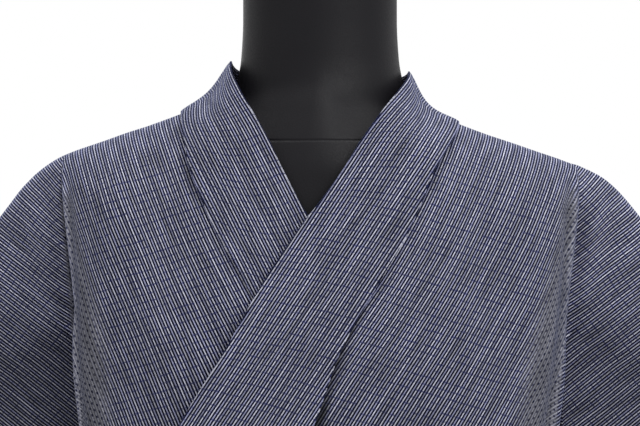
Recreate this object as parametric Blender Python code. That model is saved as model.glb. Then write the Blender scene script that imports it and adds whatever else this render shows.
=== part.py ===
# Linen kimono worn on a limbless dress form.
# Metres, +Z up. The front faces -Y and the wearer's left is +X.
# The origin is the middle of the underside of the stand's base.

import math
from collections import namedtuple
from functools import lru_cache

import bmesh
import bpy
import numpy as np
from mathutils import Vector

# Cloth walls
WALL = 0.0012
SEAM_GAP = 0.0004
LAYER = 0.0024
OVER_LIFT = 0.0062
SASH_WALL = 0.0022

# Heights
ARMPIT = 1.100
KENSAKI = 1.145
SASH_BOTTOM = 0.945
SASH_TOP = 1.045

# Across the body
SECTION_POWER = 2.5
CROSSING_SHIFT = -0.006
NECK_HALF = 0.098
NECK_DROP = 0.030
COLLAR_OVERLAP = 0.008
SHOULDER_DROP = 0.008
CREASE_WIDTH = 0.012

LEFT = 1
RIGHT = -1
FRONT = -1
BACK = 1

# Dress form and stand
FORM_CLEAR = 0.0016
FORM_ROUNDER = 1.07
NECK_WIDTH = 0.0600
NECK_DEPTH = 0.0560
NECK_TOP = 1.495
CAP_HEIGHT = 0.007
POLE_RADIUS = 0.016
BASE_RADIUS = 0.190
BASE_HEIGHT = 0.022
FORM_BOTTOM = 0.690
REST_GAP = 0.0003

Tube = namedtuple("Tube", "height half_width front back")
TUBE = (
    Tube(0.100, 0.188, 0.120, 0.124),
    Tube(0.400, 0.187, 0.119, 0.124),
    Tube(0.700, 0.184, 0.117, 0.126),
    Tube(0.850, 0.175, 0.112, 0.119),
    Tube(0.990, 0.166, 0.108, 0.104),
    Tube(1.100, 0.178, 0.113, 0.104),
    Tube(1.200, 0.187, 0.113, 0.106),
    Tube(1.280, 0.194, 0.105, 0.101),
    Tube(1.335, 0.198, 0.096, 0.094),
    Tube(1.420, 0.203, 0.085, 0.085),
)

# The crease between chest and sleeve: how far its valley stays from the side's middle, and its fold
Crease = namedtuple("Crease", "height front_valley front_fold back_valley back_fold")
CREASES = (
    Crease(1.100, 0.0010, 0.030, 0.0010, 0.022),
    Crease(1.130, 0.0100, 0.032, 0.0100, 0.024),
    Crease(1.220, 0.0120, 0.030, 0.0120, 0.022),
    Crease(1.280, 0.0220, 0.016, 0.0200, 0.012),
    Crease(1.335, 0.0400, 0.002, 0.0350, 0.001),
    Crease(1.420, 0.0450, 0.001, 0.0400, 0.001),
)

# The line along the shoulder and the sleeve's top fold, and how far the cloth rolls over it
Ridge = namedtuple("Ridge", "x height roll")
RIDGE = (
    Ridge(0.000, 1.4150, 0.085),
    Ridge(0.098, 1.3805, 0.085),
    Ridge(0.150, 1.3610, 0.075),
    Ridge(0.200, 1.3440, 0.050),
    Ridge(0.220, 1.3310, 0.040),
    Ridge(0.250, 1.2955, 0.030),
    Ridge(0.280, 1.2530, 0.025),
    Ridge(0.392, 0.9550, 0.020),
)

# The armhole seam, by the share of the way from the shoulder's ridge down to the armpit
Seam = namedtuple("Seam", "share x depth height")
ARMHOLE = (
    Seam(0.00, 0.2800, 0.0000, 1.2530),
    Seam(0.08, 0.2790, 0.0080, 1.2515),
    Seam(0.17, 0.2700, 0.0145, 1.2480),
    Seam(0.25, 0.2570, 0.0170, 1.2455),
    Seam(0.33, 0.2430, 0.0180, 1.2415),
    Seam(0.42, 0.2290, 0.0190, 1.2370),
    Seam(0.50, 0.2150, 0.0200, 1.2295),
    Seam(0.58, 0.2050, 0.0190, 1.2180),
    Seam(0.67, 0.1915, 0.0112, 1.2030),
    Seam(0.75, 0.1860, 0.0120, 1.1860),
    Seam(0.83, 0.1830, 0.0110, 1.1600),
    Seam(0.92, 0.1800, 0.0090, 1.1310),
    Seam(1.00, 0.1780, 0.0010, 1.1000),
)

# Distances round the front from its middle to the outer and the free edge of the collar
Band = namedtuple("Band", "height seam edge")
BAND = (
    Band(0.800, -0.130, -0.208),
    Band(0.900, -0.115, -0.200),
    Band(1.000, -0.076, -0.172),
    Band(1.050, -0.050, -0.146),
    Band(1.100, -0.022, -0.118),
    Band(1.145, 0.001, -0.095),
    Band(1.198, 0.020, -0.063),
    Band(1.250, 0.049, -0.034),
    Band(1.288, 0.071, -0.009),
    Band(1.334, 0.090, 0.027),
    Band(1.378, 0.106, 0.051),
)

# The front panel's inner edge above the overlap panel, and the overlap panel's seam and free edge
Inner = namedtuple("Inner", "height panel overlap_edge")
INNER = (
    Inner(0.100, -0.060, -0.205),
    Inner(0.750, -0.060, -0.205),
    Inner(0.800, -0.058, -0.203),
    Inner(0.900, -0.050, -0.150),
    Inner(1.050, -0.025, -0.078),
    Inner(1.145, -0.008, -0.016),
)

# How far round the front the under layer holds the over layer up
Held = namedtuple("Held", "height reach")
HELD = (
    Held(0.100, 0.268),
    Held(0.900, 0.268),
    Held(1.000, 0.235),
    Held(1.100, 0.190),
    Held(1.200, 0.150),
    Held(1.420, 0.110),
)

# Side seam: its distance round the tube from the middle of the front
Side = namedtuple("Side", "height along")
SIDE_SEAM = (
    Side(0.100, 0.196),
    Side(0.700, 0.196),
    Side(0.990, 0.205),
)

# The sleeve's two hanging edges, by the share of the way from its top fold to its bottom
Hang = namedtuple("Hang", "share inner outer")
SLEEVE_HANG = (
    Hang(0.000, 0.280, 0.392),
    Hang(0.345, 0.186, 0.382),
    Hang(0.600, 0.188, 0.360),
    Hang(1.000, 0.192, 0.318),
)
# The height of the sleeve's bottom edge, by the share of the way from armhole to cuff
Bottom = namedtuple("Bottom", "across height")
SLEEVE_BOTTOM = (
    Bottom(0.00, 0.805),
    Bottom(0.50, 0.640),
    Bottom(0.85, 0.520),
    Bottom(0.95, 0.512),
    Bottom(1.00, 0.530),
)

# The dress form under the cloth: the neck's half width, the widest that the body gets, and its inset
Form = namedtuple("Form", "height neck widest inset")
FORM = (
    Form(0.690, 0.060, 0.120, 0.050),
    Form(0.694, 0.060, 0.142, 0.030),
    Form(0.710, 0.060, 0.162, 0.016),
    Form(0.750, 0.060, 0.171, 0.011),
    Form(0.850, 0.060, 0.163, 0.010),
    Form(0.990, 0.060, 0.155, 0.009),
    Form(1.100, 0.060, 0.163, 0.009),
    Form(1.200, 0.060, 0.172, 0.007),
    Form(1.280, 0.062, 0.176, 0.005),
    Form(1.320, 0.066, 0.180, 0.0035),
    Form(1.340, 0.069, 0.180, 0.0025),
    Form(1.380, 0.070, 0.180, 0.0025),
    Form(1.400, 0.065, 0.180, 0.0025),
    Form(1.420, 0.0615, 0.180, 0.0025),
    Form(1.450, 0.060, 0.180, 0.0025),
    Form(1.495, 0.060, 0.180, 0.0025),
)
FORM_HEIGHTS = (0.690, 0.694, 0.710, 0.750, 0.850, 0.990, 1.100, 1.200, 1.280, 1.310, 1.325, 1.335, 1.343,
                1.351, 1.359, 1.367, 1.374, 1.381, 1.388, 1.396, 1.406, 1.420, 1.440, 1.468, 1.493, 1.495)

CHEST_COLUMNS = 9
CAP_SHARES = (0.0, 0.25, 0.42, 0.60, 0.80, 1.0)
SKIRT_CREASE_SHARE = 9 / 14
CREASE_SLIDE = 0.060
SLIDE_START = 1.262
BACK_SLACK = 0.93
BACK_DROP = 0.0035
ROLL_ROWS = 6
CHEST_ROWS = 6
SKIRT_HEIGHTS = (0.10, 0.26, 0.42, 0.56, 0.68, 0.78, 0.86, 0.93, 0.99, 1.045)
SLEEVE_COLUMNS = 9
CREASE_TOP = 0.198
SLEEVE_TOP_INNER = 0.280
SLEEVE_TOP_OUTER = 0.392
SLEEVE_FREE_ROWS = 7
SLEEVE_WAVES = 2.0
SLEEVE_WAVE_DEPTH = 0.008
SLEEVE_HALF_GAP = 0.017
CUFF_OPENING = 0.46
COLLAR_HALF = 0.106
SASH_CLEAR = 0.0013
SASH_COLUMNS = 60
SASH_TURNS = 1.12
COLLAR_RISE = 1.12
COLLAR_STAND = 0.041
COLLAR_NECK_ROWS = 16
COLLAR_HEIGHTS = (0.800, 0.850, 0.900, 0.950, 1.000, 1.045, 1.075, 1.100, 1.125, 1.150, 1.175, 1.198, 1.224,
                  1.250, 1.270, 1.288, 1.304, 1.319, 1.334, 1.347, 1.358, 1.367, 1.373)
OVERLAP_COLUMNS = 8
COLLAR_COLUMNS = 6


@lru_cache(maxsize=None)
def curve_data(table):
    """Keys, values and slopes of the smooth curves through a table's rows."""
    rows = np.array(table, dtype=float)
    keys = rows[:, 0]
    values = rows[:, 1:]
    steps = np.diff(values, axis=0) / np.diff(keys)[:, None]
    slopes = np.zeros_like(values)
    slopes[0] = steps[0]
    slopes[-1] = steps[-1]
    same_way = steps[:-1] * steps[1:] > 0.0
    total = np.where(same_way, steps[:-1] + steps[1:], 1.0)
    slopes[1:-1] = np.where(same_way, 2.0 * steps[:-1] * steps[1:] / total, 0.0)
    return keys, values, slopes


def read(table, place):
    """Values of a table's other columns at a place in its first, on smooth curves."""
    keys, values, slopes = curve_data(table)
    place = min(max(place, keys[0]), keys[-1])
    row = min(int(np.searchsorted(keys, place, side="right")) - 1, len(keys) - 2)
    span = keys[row + 1] - keys[row]
    t = (place - keys[row]) / span
    start = (1 + 2 * t) * (1 - t) ** 2 * values[row] + t * (1 - t) ** 2 * span * slopes[row]
    end = t * t * (3 - 2 * t) * values[row + 1] - t * t * (1 - t) * span * slopes[row + 1]
    return start + end


def ease(share):
    share = min(max(share, 0.0), 1.0)
    return share * share * (3.0 - 2.0 * share)


def mix(first, second, share):
    return first + (second - first) * share


@lru_cache(maxsize=None)
def quarter(height, face):
    """One quarter of the cloth tube from the middle of a face to its side, with arc lengths."""
    half_width, front, back = read(TUBE, height)
    front_valley, _, back_valley, _ = read(CREASES, height)
    depth = front if face == FRONT else back
    valley = front_valley if face == FRONT else back_valley
    if height <= ARMPIT:
        valley = 0.0
    angle = np.linspace(0.0, math.pi / 2, 49)
    power = 2.0 / SECTION_POWER
    x = half_width * np.sin(angle) ** power
    y = valley + (depth - valley) * np.abs(np.cos(angle)) ** power
    length = np.concatenate(([0.0], np.cumsum(np.hypot(np.diff(x), np.diff(y)))))
    return x, y, length


def quarter_length(height, face):
    return quarter(height, face)[2][-1]


def tube_point(height, along):
    """A point of the closed tube, its distance along measured from the middle of the front."""
    reach = abs(along)
    front_x, front_y, front_length = quarter(height, FRONT)
    back_x, back_y, back_length = quarter(height, BACK)
    if reach <= front_length[-1]:
        x = np.interp(reach, front_length, front_x)
        y = -np.interp(reach, front_length, front_y)
    else:
        left_over = back_length[-1] - (reach - front_length[-1])
        x = np.interp(left_over, back_length, back_x)
        y = np.interp(left_over, back_length, back_y)
    return math.copysign(x, along), y


def half_round(height):
    return quarter_length(height, FRONT) + quarter_length(height, BACK)


def shoulder_height(side, x):
    """Height of the shoulder line, lower on the wearer's left."""
    height = read(RIDGE, x)[0]
    if side == LEFT:
        height -= SHOULDER_DROP * ease((0.250 - x) / 0.060)
    return height


def rolled(share):
    """Share of the full depth reached at a share of the roll's height below the ridge."""
    share = min(max(share, 0.0), 1.0)
    return math.sqrt(1.0 - (1.0 - share) ** 2)


def shoulder_roll(side, x, height):
    """Share of its full depth that the cloth has at a height below the shoulder line."""
    return rolled((shoulder_height(side, x) - height) / read(RIDGE, x)[1])


def upper_point(face, height, along):
    """A point beside the chest or out on the sleeve's cap, before the cloth rolls over the ridge."""
    x, y, length = quarter(height, face)
    reach = abs(along)
    if reach <= length[-1]:
        return np.interp(reach, length, x), np.interp(reach, length, y)
    return x[-1] + reach - length[-1], y[-1]


def held_up(height, along):
    """How far the over layer stands off, where the under layer lies beneath it."""
    reach = read(HELD, height)[0]
    return OVER_LIFT * ease((reach - along) / 0.045) * ease((1.372 - height) / 0.060)


def inner_edge(height):
    """Distance from the middle of the front to the front panel's inner edge."""
    if height >= KENSAKI:
        return read(BAND, height)[0] - COLLAR_OVERLAP
    return read(INNER, height)[0]


def shift(height):
    """How far the crossing lies toward the wearer's right."""
    return CROSSING_SHIFT * ease((height - 0.90) / 0.15) * ease((1.378 - height) / 0.05)


def side_along(height):
    if height >= ARMPIT:
        return quarter_length(height, FRONT)
    low = read(SIDE_SEAM, height)[0]
    return mix(low, quarter_length(ARMPIT, FRONT), ease((height - 0.99) / (ARMPIT - 0.99)))


def crease_slide(height):
    """How far the column of the crease has moved in from the crease, toward the armpit."""
    return CREASE_SLIDE * ease((SLIDE_START - height) / (SLIDE_START - ARMPIT))


def panel_along(face, side, height, column):
    """Distance along the upper section of a column: 0 inner edge, 1 crease."""
    crease = quarter_length(height, face) - crease_slide(height)
    inner = inner_edge(height) + side * shift(height) if face == FRONT else 0.0
    return mix(inner, crease, column)


def column_top(side, column):
    """The x and height where a column of the panel meets the shoulder line."""
    if column <= 1.0:
        x = mix(NECK_HALF, CREASE_TOP, column)
    else:
        x = mix(CREASE_TOP, SLEEVE_TOP_INNER, column - 1.0)
    return x, shoulder_height(side, x)


def armhole_point(face, share):
    """A point of the armhole seam, which joins the body's side toward the armpit."""
    x, depth, height = read(ARMHOLE, share)
    side_x, side_y, _ = quarter(height, face)
    joined = ease((1.200 - height) / 0.020)
    return Vector((mix(x, side_x[-1], joined), face * mix(depth, side_y[-1], joined), height))


def cap_point(face, side, share, across, start):
    """A point between the crease's column and the armhole seam, with the fold beside the crease."""
    end = armhole_point(face, share)
    slide = crease_slide(start.z)
    valley = start.copy()
    height = mix(start.z, end.z, across)
    if slide > 0.0:
        x, y, _ = quarter(height, face)
        valley = Vector((x[-1], face * y[-1], height))
    width = math.hypot(end.x - valley.x, end.y - valley.y)
    place = across * (slide + width)
    if place <= slide:
        x, y = upper_point(face, height, quarter_length(height, face) - slide + place)
        return Vector((x, y * face, height))
    beyond = (place - slide) / width
    _, front_fold, _, back_fold = read(CREASES, start.z)
    fold = front_fold if face == FRONT else back_fold
    rise = min((place - slide) / CREASE_WIDTH, 1.0)
    bump = fold * min(width / 0.050, 1.0) ** 2 * (1.0 - beyond) * rise * (2.0 - rise)
    point = valley.lerp(Vector((end.x, end.y, valley.z)), beyond)
    point.y += face * bump
    point.z = height
    _, top_z = column_top(side, 1.0 + across)
    bow = top_z - mix(shoulder_height(side, CREASE_TOP), shoulder_height(side, SLEEVE_TOP_INNER), across)
    point.z += bow * (1.0 - share) ** 2
    return point


def upper_panel_point(face, side, column, height):
    """A point of a body panel between the armpit and the shoulder line, for the wearer's left."""
    top_x, top_z = column_top(side, column)
    along = panel_along(face, side, height, column)
    x, y = upper_point(face, height, along)
    x = math.copysign(x, along)
    drop = top_z - height
    if face == BACK and column < 1.0:
        settle = ease(drop / (read(RIDGE, top_x)[1] + 0.030))
        x = mix(neckline_x(drop) * (1.0 - column) + top_x * column, x, settle)
    else:
        settle = ease(drop / 0.035)
        x = mix(top_x, x, settle)
    y = mix(quarter_depth(face, abs(x), height), y, settle)
    y *= shoulder_roll(side, abs(x), height)
    if side == LEFT and face == FRONT:
        normal = upper_normal(height, along)
        lift = held_up(height, along)
        x += normal[0] * lift
        y += normal[1] * lift
    return Vector((x, y * face, height))


def upper_normal(height, along):
    """Outward direction, seen from above, of the front beside the chest."""
    length = quarter_length(height, FRONT)
    ahead_x, ahead_y = upper_point(FRONT, height, min(abs(along) + 0.004, length))
    behind_x, behind_y = upper_point(FRONT, height, max(abs(along) - 0.004, 0.0))
    out_x = behind_y - ahead_y
    out_y = ahead_x - behind_x
    size = math.hypot(out_x, out_y)
    return math.copysign(out_x, along) / size, out_y / size


def neckline_x(drop):
    """Half width of the neck opening behind, at a drop below the shoulder line."""
    share = min(drop / NECK_DROP, 1.0)
    return NECK_HALF * math.sqrt(max(1.0 - share * share, 0.0))


def chest_surface(side, x_along, height, ridge_height):
    """The front of the chest, where the collar lies on it."""
    x, y = upper_point(FRONT, min(height, 1.42), x_along)
    x = math.copysign(x, x_along)
    y *= rolled((ridge_height - height) / 0.085)
    if side == LEFT:
        normal = upper_normal(min(height, 1.42), x_along)
        lift = held_up(height, x_along)
        x += normal[0] * lift
        y += normal[1] * lift
    return Vector((x, -y, height))


def column_shares():
    chest = [index / CHEST_COLUMNS for index in range(CHEST_COLUMNS)]
    return chest + [1.0 + share for share in CAP_SHARES]


def skirt_share(height, inner, column):
    """Share of the way from the panel's inner edge to its side seam, for a column below the armpit."""
    length = quarter_length(ARMPIT, FRONT)
    at_armpit = (length - CREASE_SLIDE - inner) / (length - inner)
    crease = mix(SKIRT_CREASE_SHARE, at_armpit, ease((height - 0.86) / (ARMPIT - 0.86)))
    if column <= 1.0:
        return crease * column
    return mix(crease, 1.0, column - 1.0)


def upper_row(face, side, index, columns, heights):
    """One row of a body panel between its ridge and the armpit."""
    row = [upper_panel_point(face, side, column, heights[place][index])
           for place, column in enumerate(columns) if column <= 1.0]
    start = row[-1].copy()
    share = (index + 1) / len(heights[0])
    for column in columns[len(row):]:
        row.append(cap_point(face, side, share, column - 1.0, start))
    return row


def column_heights(side, column):
    """Heights of a column's upper rows, from the shoulder line down to just above the armpit."""
    top_x, top_z = column_top(side, column)
    roll = read(RIDGE, top_x)[1]
    turn = [math.pi / 2 * index / ROLL_ROWS for index in range(1, ROLL_ROWS + 1)]
    heights = [top_z - roll * (1.0 - math.cos(angle)) for angle in turn]
    start = heights[-1]
    for index in range(1, CHEST_ROWS + 1):
        heights.append(mix(start, ARMPIT, index / CHEST_ROWS))
    return heights


def mirrored(point, side):
    return Vector((point.x * side, point.y, point.z))


def tube_layer_point(height, along, lift):
    """A tube point with its layer's lift, for a distance toward the panel's own side."""
    x, y = tube_point(height, along)
    ahead_x, ahead_y = tube_point(height, along + 0.004)
    behind_x, behind_y = tube_point(height, along - 0.004)
    normal = Vector((-(ahead_y - behind_y), ahead_x - behind_x, 0.0)).normalized()
    return Vector((x, y, height)) - normal * lift


def panel_grid(side):
    """Rows of a body panel from its front hem over the shoulder to its back hem."""
    columns = column_shares()
    heights = [column_heights(side, column) for column in columns]
    upper_rows = len(heights[0])
    rows = []
    for height in SKIRT_HEIGHTS:
        row = []
        inner = inner_edge(height) + side * shift(height)
        for column in columns:
            along = mix(inner, side_along(height), skirt_share(height, inner, column))
            lift = held_up(height, along) if side == LEFT else 0.0
            row.append(tube_layer_point(height, along, lift))
        rows.append(row)
    for index in reversed(range(upper_rows)):
        rows.append(upper_row(FRONT, side, index, columns, heights))
    rows.append([Vector((column_top(side, column)[0], 0.0, column_top(side, column)[1]))
                 for column in columns])
    for index in range(upper_rows):
        rows.append(upper_row(BACK, side, index, columns, heights))
    for height in reversed(SKIRT_HEIGHTS):
        row = []
        for column in columns:
            along = mix(half_round(height), side_along(height), skirt_share(height, 0.0, column))
            lift = held_up(height, along) if side == LEFT else 0.0
            row.append(tube_layer_point(height, along, lift))
        rows.append(row)
    return [[mirrored(point, side) for point in row] for row in rows]


def sleeve_rows(side):
    """Shares of the way down the sleeve, those beside the armhole first."""
    top = shoulder_height(side, SLEEVE_TOP_INNER)
    steps = ROLL_ROWS + CHEST_ROWS
    heights = [read(ARMHOLE, (index + 1) / steps)[2] for index in range(steps)]
    span = top - read(SLEEVE_BOTTOM, 0.0)[0]
    attached = [(top - height) / span for height in heights]
    free = [mix(attached[-1], 1.0, index / SLEEVE_FREE_ROWS) for index in range(1, SLEEVE_FREE_ROWS + 1)]
    return attached, free


def sleeve_point(face, side, across, down):
    """A point of the sleeve: across from the armhole to the cuff, down from top fold to bottom."""
    inner_x, outer_x = read(SLEEVE_HANG, down)
    top_x = mix(SLEEVE_TOP_INNER, SLEEVE_TOP_OUTER, across)
    top_z = shoulder_height(side, top_x)
    bottom_z = read(SLEEVE_BOTTOM, across)[0]
    height = mix(top_z, bottom_z, down)
    x = mix(inner_x, outer_x, across)
    near_fold = rolled(down / 0.060)
    near_bottom = rolled((1.0 - down) / 0.10)
    closed = ease((down - CUFF_OPENING) / 0.04)
    near_cuff = mix(1.0, rolled((1.0 - across) / 0.12), closed)
    gap = SLEEVE_HALF_GAP * near_fold * near_bottom * near_cuff + WALL / 2 + SEAM_GAP / 2
    deep = ease(down / 0.35) * ease((1.0 - down) / 0.10 + 0.35)
    wave = SLEEVE_WAVE_DEPTH * deep * math.sin(math.tau * SLEEVE_WAVES * across + 0.6)
    nose = 0.016 * math.exp(-((across - 0.13) / 0.09) ** 2) * deep
    if face == FRONT:
        return Vector((x, wave - gap - nose, height))
    return Vector((x, wave + gap, height))


def sleeve_grid(side, panel):
    """Rows of a sleeve from its front bottom edge over the top fold to its back bottom edge."""
    attached, free = sleeve_rows(side)
    shares = [index / SLEEVE_COLUMNS for index in range(SLEEVE_COLUMNS + 1)]
    shares.insert(1, shares[1] * 0.5)
    ridge_row = len(SKIRT_HEIGHTS) + len(attached)
    rows = []
    for down in reversed(attached + free):
        rows.append([sleeve_point(FRONT, side, across, down) for across in shares])
    tops = [mix(SLEEVE_TOP_INNER, SLEEVE_TOP_OUTER, across) for across in shares]
    rows.append([Vector((top, 0.0, shoulder_height(side, top))) for top in tops])
    for down in attached + free:
        rows.append([sleeve_point(BACK, side, across, down) for across in shares])
    rows = [[mirrored(point, side) for point in row] for row in rows]
    middle = len(free) + len(attached)
    fades = [(1.0 - min(across / 0.45, 1.0)) ** 2 for across in shares]
    offsets = []
    for step in range(-len(attached), len(attached) + 1):
        seam = panel[ridge_row + step][-1]
        tangent = (panel[ridge_row + step + 1][-1] - panel[ridge_row + step - 1][-1]).normalized()
        away = seam - panel[ridge_row + step][-2]
        away = (away - tangent * away.dot(tangent)).normalized() * SEAM_GAP
        face = FRONT if step < 0 else BACK
        apart = 0.0045 * ease((1.205 - seam.z) / 0.080)
        target = seam + away + Vector((side * apart, face * apart, 0.0))
        offsets.append(target - rows[middle + step][0])
    for index, row in enumerate(rows):
        step = index - middle
        reach = min(max(step, -len(attached)), len(attached))
        beyond = abs(step) - len(attached)
        weight = 1.0 if beyond <= 0 else max(1.0 - beyond / 3.0, 0.0)
        offset = offsets[reach + len(attached)] * weight
        for place, fade in enumerate(fades):
            row[place] = row[place] + offset * fade
    return rows


def softened(grid, rounds, strength=0.5):
    """Relax a grid's inner points across its columns, which rounds its folds."""
    for _ in range(rounds):
        fresh = [list(row) for row in grid]
        for index in range(1, len(grid) - 1):
            for place in range(1, len(grid[0]) - 1):
                beside = (grid[index][place - 1] + grid[index][place + 1]) / 2
                fresh[index][place] = grid[index][place].lerp(beside, strength)
        grid = fresh
    return grid


def direction(before, point, after):
    """Direction of a line of points at one of them, which halves its bend there."""
    return (after - point).normalized() + (point - before).normalized()


def normals_of(grid):
    """A normal for each point of a grid, from its neighbours."""
    rows = len(grid)
    columns = len(grid[0])
    normals = []
    for index in range(rows):
        above = grid[max(index - 1, 0)]
        below = grid[min(index + 1, rows - 1)]
        row = []
        for place, point in enumerate(grid[index]):
            behind = grid[index][max(place - 1, 0)]
            ahead = grid[index][min(place + 1, columns - 1)]
            across = direction(behind, point, ahead)
            down = direction(above[place], point, below[place])
            row.append(across.cross(down).normalized())
        normals.append(row)
    return normals


def joined_normals(panel, sleeve):
    """Normals of a body panel and its sleeve, shared along the armhole."""
    panel_normals = normals_of(panel)
    sleeve_normals = normals_of(sleeve)
    panel_ridge = len(SKIRT_HEIGHTS) + ROLL_ROWS + CHEST_ROWS
    sleeve_ridge = SLEEVE_FREE_ROWS + ROLL_ROWS + CHEST_ROWS
    for step in range(-ROLL_ROWS - CHEST_ROWS + 1, ROLL_ROWS + CHEST_ROWS):
        inner = panel_normals[panel_ridge + step]
        outer = sleeve_normals[sleeve_ridge + step]
        shared = (inner[-1] + outer[0]).normalized()
        inner[-1] = shared
        outer[0] = shared
    return panel_normals, sleeve_normals


def drawn_in(grid, sides):
    """Pull the named edge columns of a grid in by half a seam's gap."""
    for row in grid:
        for place, neighbour in sides:
            row[place] = row[place] + (row[neighbour] - row[place]).normalized() * (SEAM_GAP / 2)
    return grid


def material(name, colour, roughness, metallic=0.0):
    made = bpy.data.materials.new(name)
    made.use_nodes = True
    shader = made.node_tree.nodes["Principled BSDF"]
    shader.inputs["Base Color"].default_value = (*colour, 1.0)
    shader.inputs["Roughness"].default_value = roughness
    shader.inputs["Metallic"].default_value = metallic
    made.diffuse_color = (*colour, 1.0)
    return made


def place_object(name, mesh_data, finish):
    mesh = bpy.data.meshes.new(name)
    mesh_data.to_mesh(mesh)
    mesh_data.free()
    mesh.shade_smooth()
    mesh.set_sharp_from_angle(angle=math.radians(50.0))
    made = bpy.data.objects.new(name, mesh)
    made.data.materials.append(finish)
    bpy.context.scene.collection.objects.link(made)
    return made


def cloth_wall(name, grid, finish, wall=WALL, normals=None):
    """A closed cloth wall round a grid of middle points."""
    normals = normals or normals_of(grid)
    rows = len(grid)
    columns = len(grid[0])
    data = bmesh.new()
    skins = []
    for sign in (0.5, -0.5):
        skins.append([[data.verts.new(grid[i][k] + normals[i][k] * (wall * sign)) for k in range(columns)]
                      for i in range(rows)])
    outer, inner = skins
    for i in range(rows - 1):
        for k in range(columns - 1):
            corners = ((i, k), (i, k + 1), (i + 1, k + 1), (i + 1, k))
            low, right, high, left = (grid[row][place] for row, place in corners)
            if (low - high).length > (right - left).length:
                corners = corners[1:] + corners[:1]
            for trio in ((0, 1, 2), (0, 2, 3)):
                places = [corners[index] for index in trio]
                data.faces.new([outer[row][place] for row, place in places])
                data.faces.new([inner[row][place] for row, place in reversed(places)])
    for i in range(rows - 1):
        data.faces.new((outer[i][0], outer[i + 1][0], inner[i + 1][0], inner[i][0]))
        data.faces.new((outer[i + 1][-1], outer[i][-1], inner[i][-1], inner[i + 1][-1]))
    for k in range(columns - 1):
        data.faces.new((outer[0][k + 1], outer[0][k], inner[0][k], inner[0][k + 1]))
        data.faces.new((outer[-1][k], outer[-1][k + 1], inner[-1][k + 1], inner[-1][k]))
    bmesh.ops.recalc_face_normals(data, faces=data.faces)
    return place_object(name, data, finish)


def overlap_grid(side):
    """Rows of an overlap panel from its hem to its point under the collar."""
    heights = SKIRT_HEIGHTS + (ARMPIT, 1.135)
    rows = []
    for height in heights:
        near, far = read(INNER, height)
        start = near + side * shift(height)
        end = far + side * shift(height)
        row = []
        for index in range(OVERLAP_COLUMNS + 1):
            along = mix(start, end, index / OVERLAP_COLUMNS)
            lift = held_up(height, along) if side == LEFT else 0.0
            row.append(mirrored(tube_layer_point(height, along, lift), side))
        rows.append(row)
    return rows


def collar_point(side, height_seam, share):
    """A point of the collar on the chest, its share measured from its outer to its free edge."""
    seam, edge = read(BAND, height_seam)
    rise = COLLAR_STAND * ease((height_seam - 1.300) / 0.073)
    height = height_seam + rise * share
    if side == LEFT:
        height -= SHOULDER_DROP * ease((height_seam - 1.320) / 0.053)
    neck_edge = mix(edge, 0.0700, ease((height_seam - 1.330) / 0.048))
    along = mix(seam, neck_edge, share) + side * shift(height_seam)
    if height <= ARMPIT:
        lift = held_up(height, along) if side == LEFT else 0.0
        return tube_layer_point(height, along, lift)
    ridge = shoulder_height(side, COLLAR_HALF) + COLLAR_RISE * max(COLLAR_HALF - along, 0.0)
    ridge += 0.40 * max(0.060 - along, 0.0)
    return chest_surface(side, along, height, ridge)


def collar_grid():
    """Rows of the collar from the over front's end round the neck to the under front's end."""
    shares = [index / COLLAR_COLUMNS for index in range(COLLAR_COLUMNS + 1)]
    over = [[collar_point(LEFT, height, share) for share in shares] for height in COLLAR_HEIGHTS]
    under = [[mirrored(collar_point(RIGHT, height, share), RIGHT) for share in shares]
             for height in COLLAR_HEIGHTS]
    behind = []
    for index in range(COLLAR_NECK_ROWS + 1):
        angle = math.pi * index / COLLAR_NECK_ROWS
        side = LEFT if index * 2 < COLLAR_NECK_ROWS else RIGHT
        around = abs(math.cos(angle))
        x = COLLAR_HALF * around
        seam_z = mix(shoulder_height(LEFT, COLLAR_HALF) - NECK_DROP - 0.006,
                     shoulder_height(side, COLLAR_HALF), 1.0 - math.sin(angle))
        seam_y = quarter_depth(BACK, x, seam_z) * shoulder_roll(side, x, seam_z)
        edge_z = mix(1.4020, shoulder_height(side, COLLAR_HALF) + COLLAR_STAND, 1.0 - math.sin(angle))
        seam = Vector((COLLAR_HALF * math.cos(angle), seam_y, seam_z))
        edge = Vector((0.0700 * math.cos(angle), 0.0780 * math.sin(angle), edge_z))
        bow = Vector((math.cos(angle), math.sin(angle), 0.3)) * 0.003
        behind.append([seam.lerp(edge, share) + bow * math.sin(math.pi * share) for share in shares])
    grid = over + behind + under[::-1]
    normals = normals_of(grid)
    return [[point - normal * LAYER for point, normal in zip(points, directions)]
            for points, directions in zip(grid, normals)]


def quarter_depth(face, x, height):
    """Depth of the cloth beside the chest at a distance from the middle plane."""
    section_x, section_y, _ = quarter(height, face)
    return np.interp(x, section_x, section_y)


def sash_grid():
    """Rows of the sash, which laps over its own end behind."""
    rows = []
    clear = (WALL + SASH_WALL) / 2 + SASH_CLEAR
    for index in range(4):
        height = mix(SASH_BOTTOM, SASH_TOP, index / 3)
        whole = 2.0 * half_round(height)
        row = []
        for step in range(SASH_COLUMNS + 1):
            turn = SASH_TURNS * step / SASH_COLUMNS
            along = whole * (turn - SASH_TURNS / 2)
            if abs(along) > whole / 2:
                along -= math.copysign(whole, along)
            over_front = ease((0.300 - abs(along)) / 0.080)
            lapped = ease((turn - SASH_TURNS + 0.16) / 0.04)
            lift = clear + over_front * (OVER_LIFT + LAYER) + lapped * (SASH_WALL + 0.0010)
            row.append(tube_layer_point(height, along, lift))
        rows.append(row)
    return rows


def shoulder_reach(height):
    """How far out the form's shoulder line is as high as this."""
    low, high = 0.0, 0.280
    for _ in range(30):
        middle = (low + high) / 2
        if read(RIDGE, middle)[0] - FORM_CLEAR > height:
            low = middle
        else:
            high = middle
    return low


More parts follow.
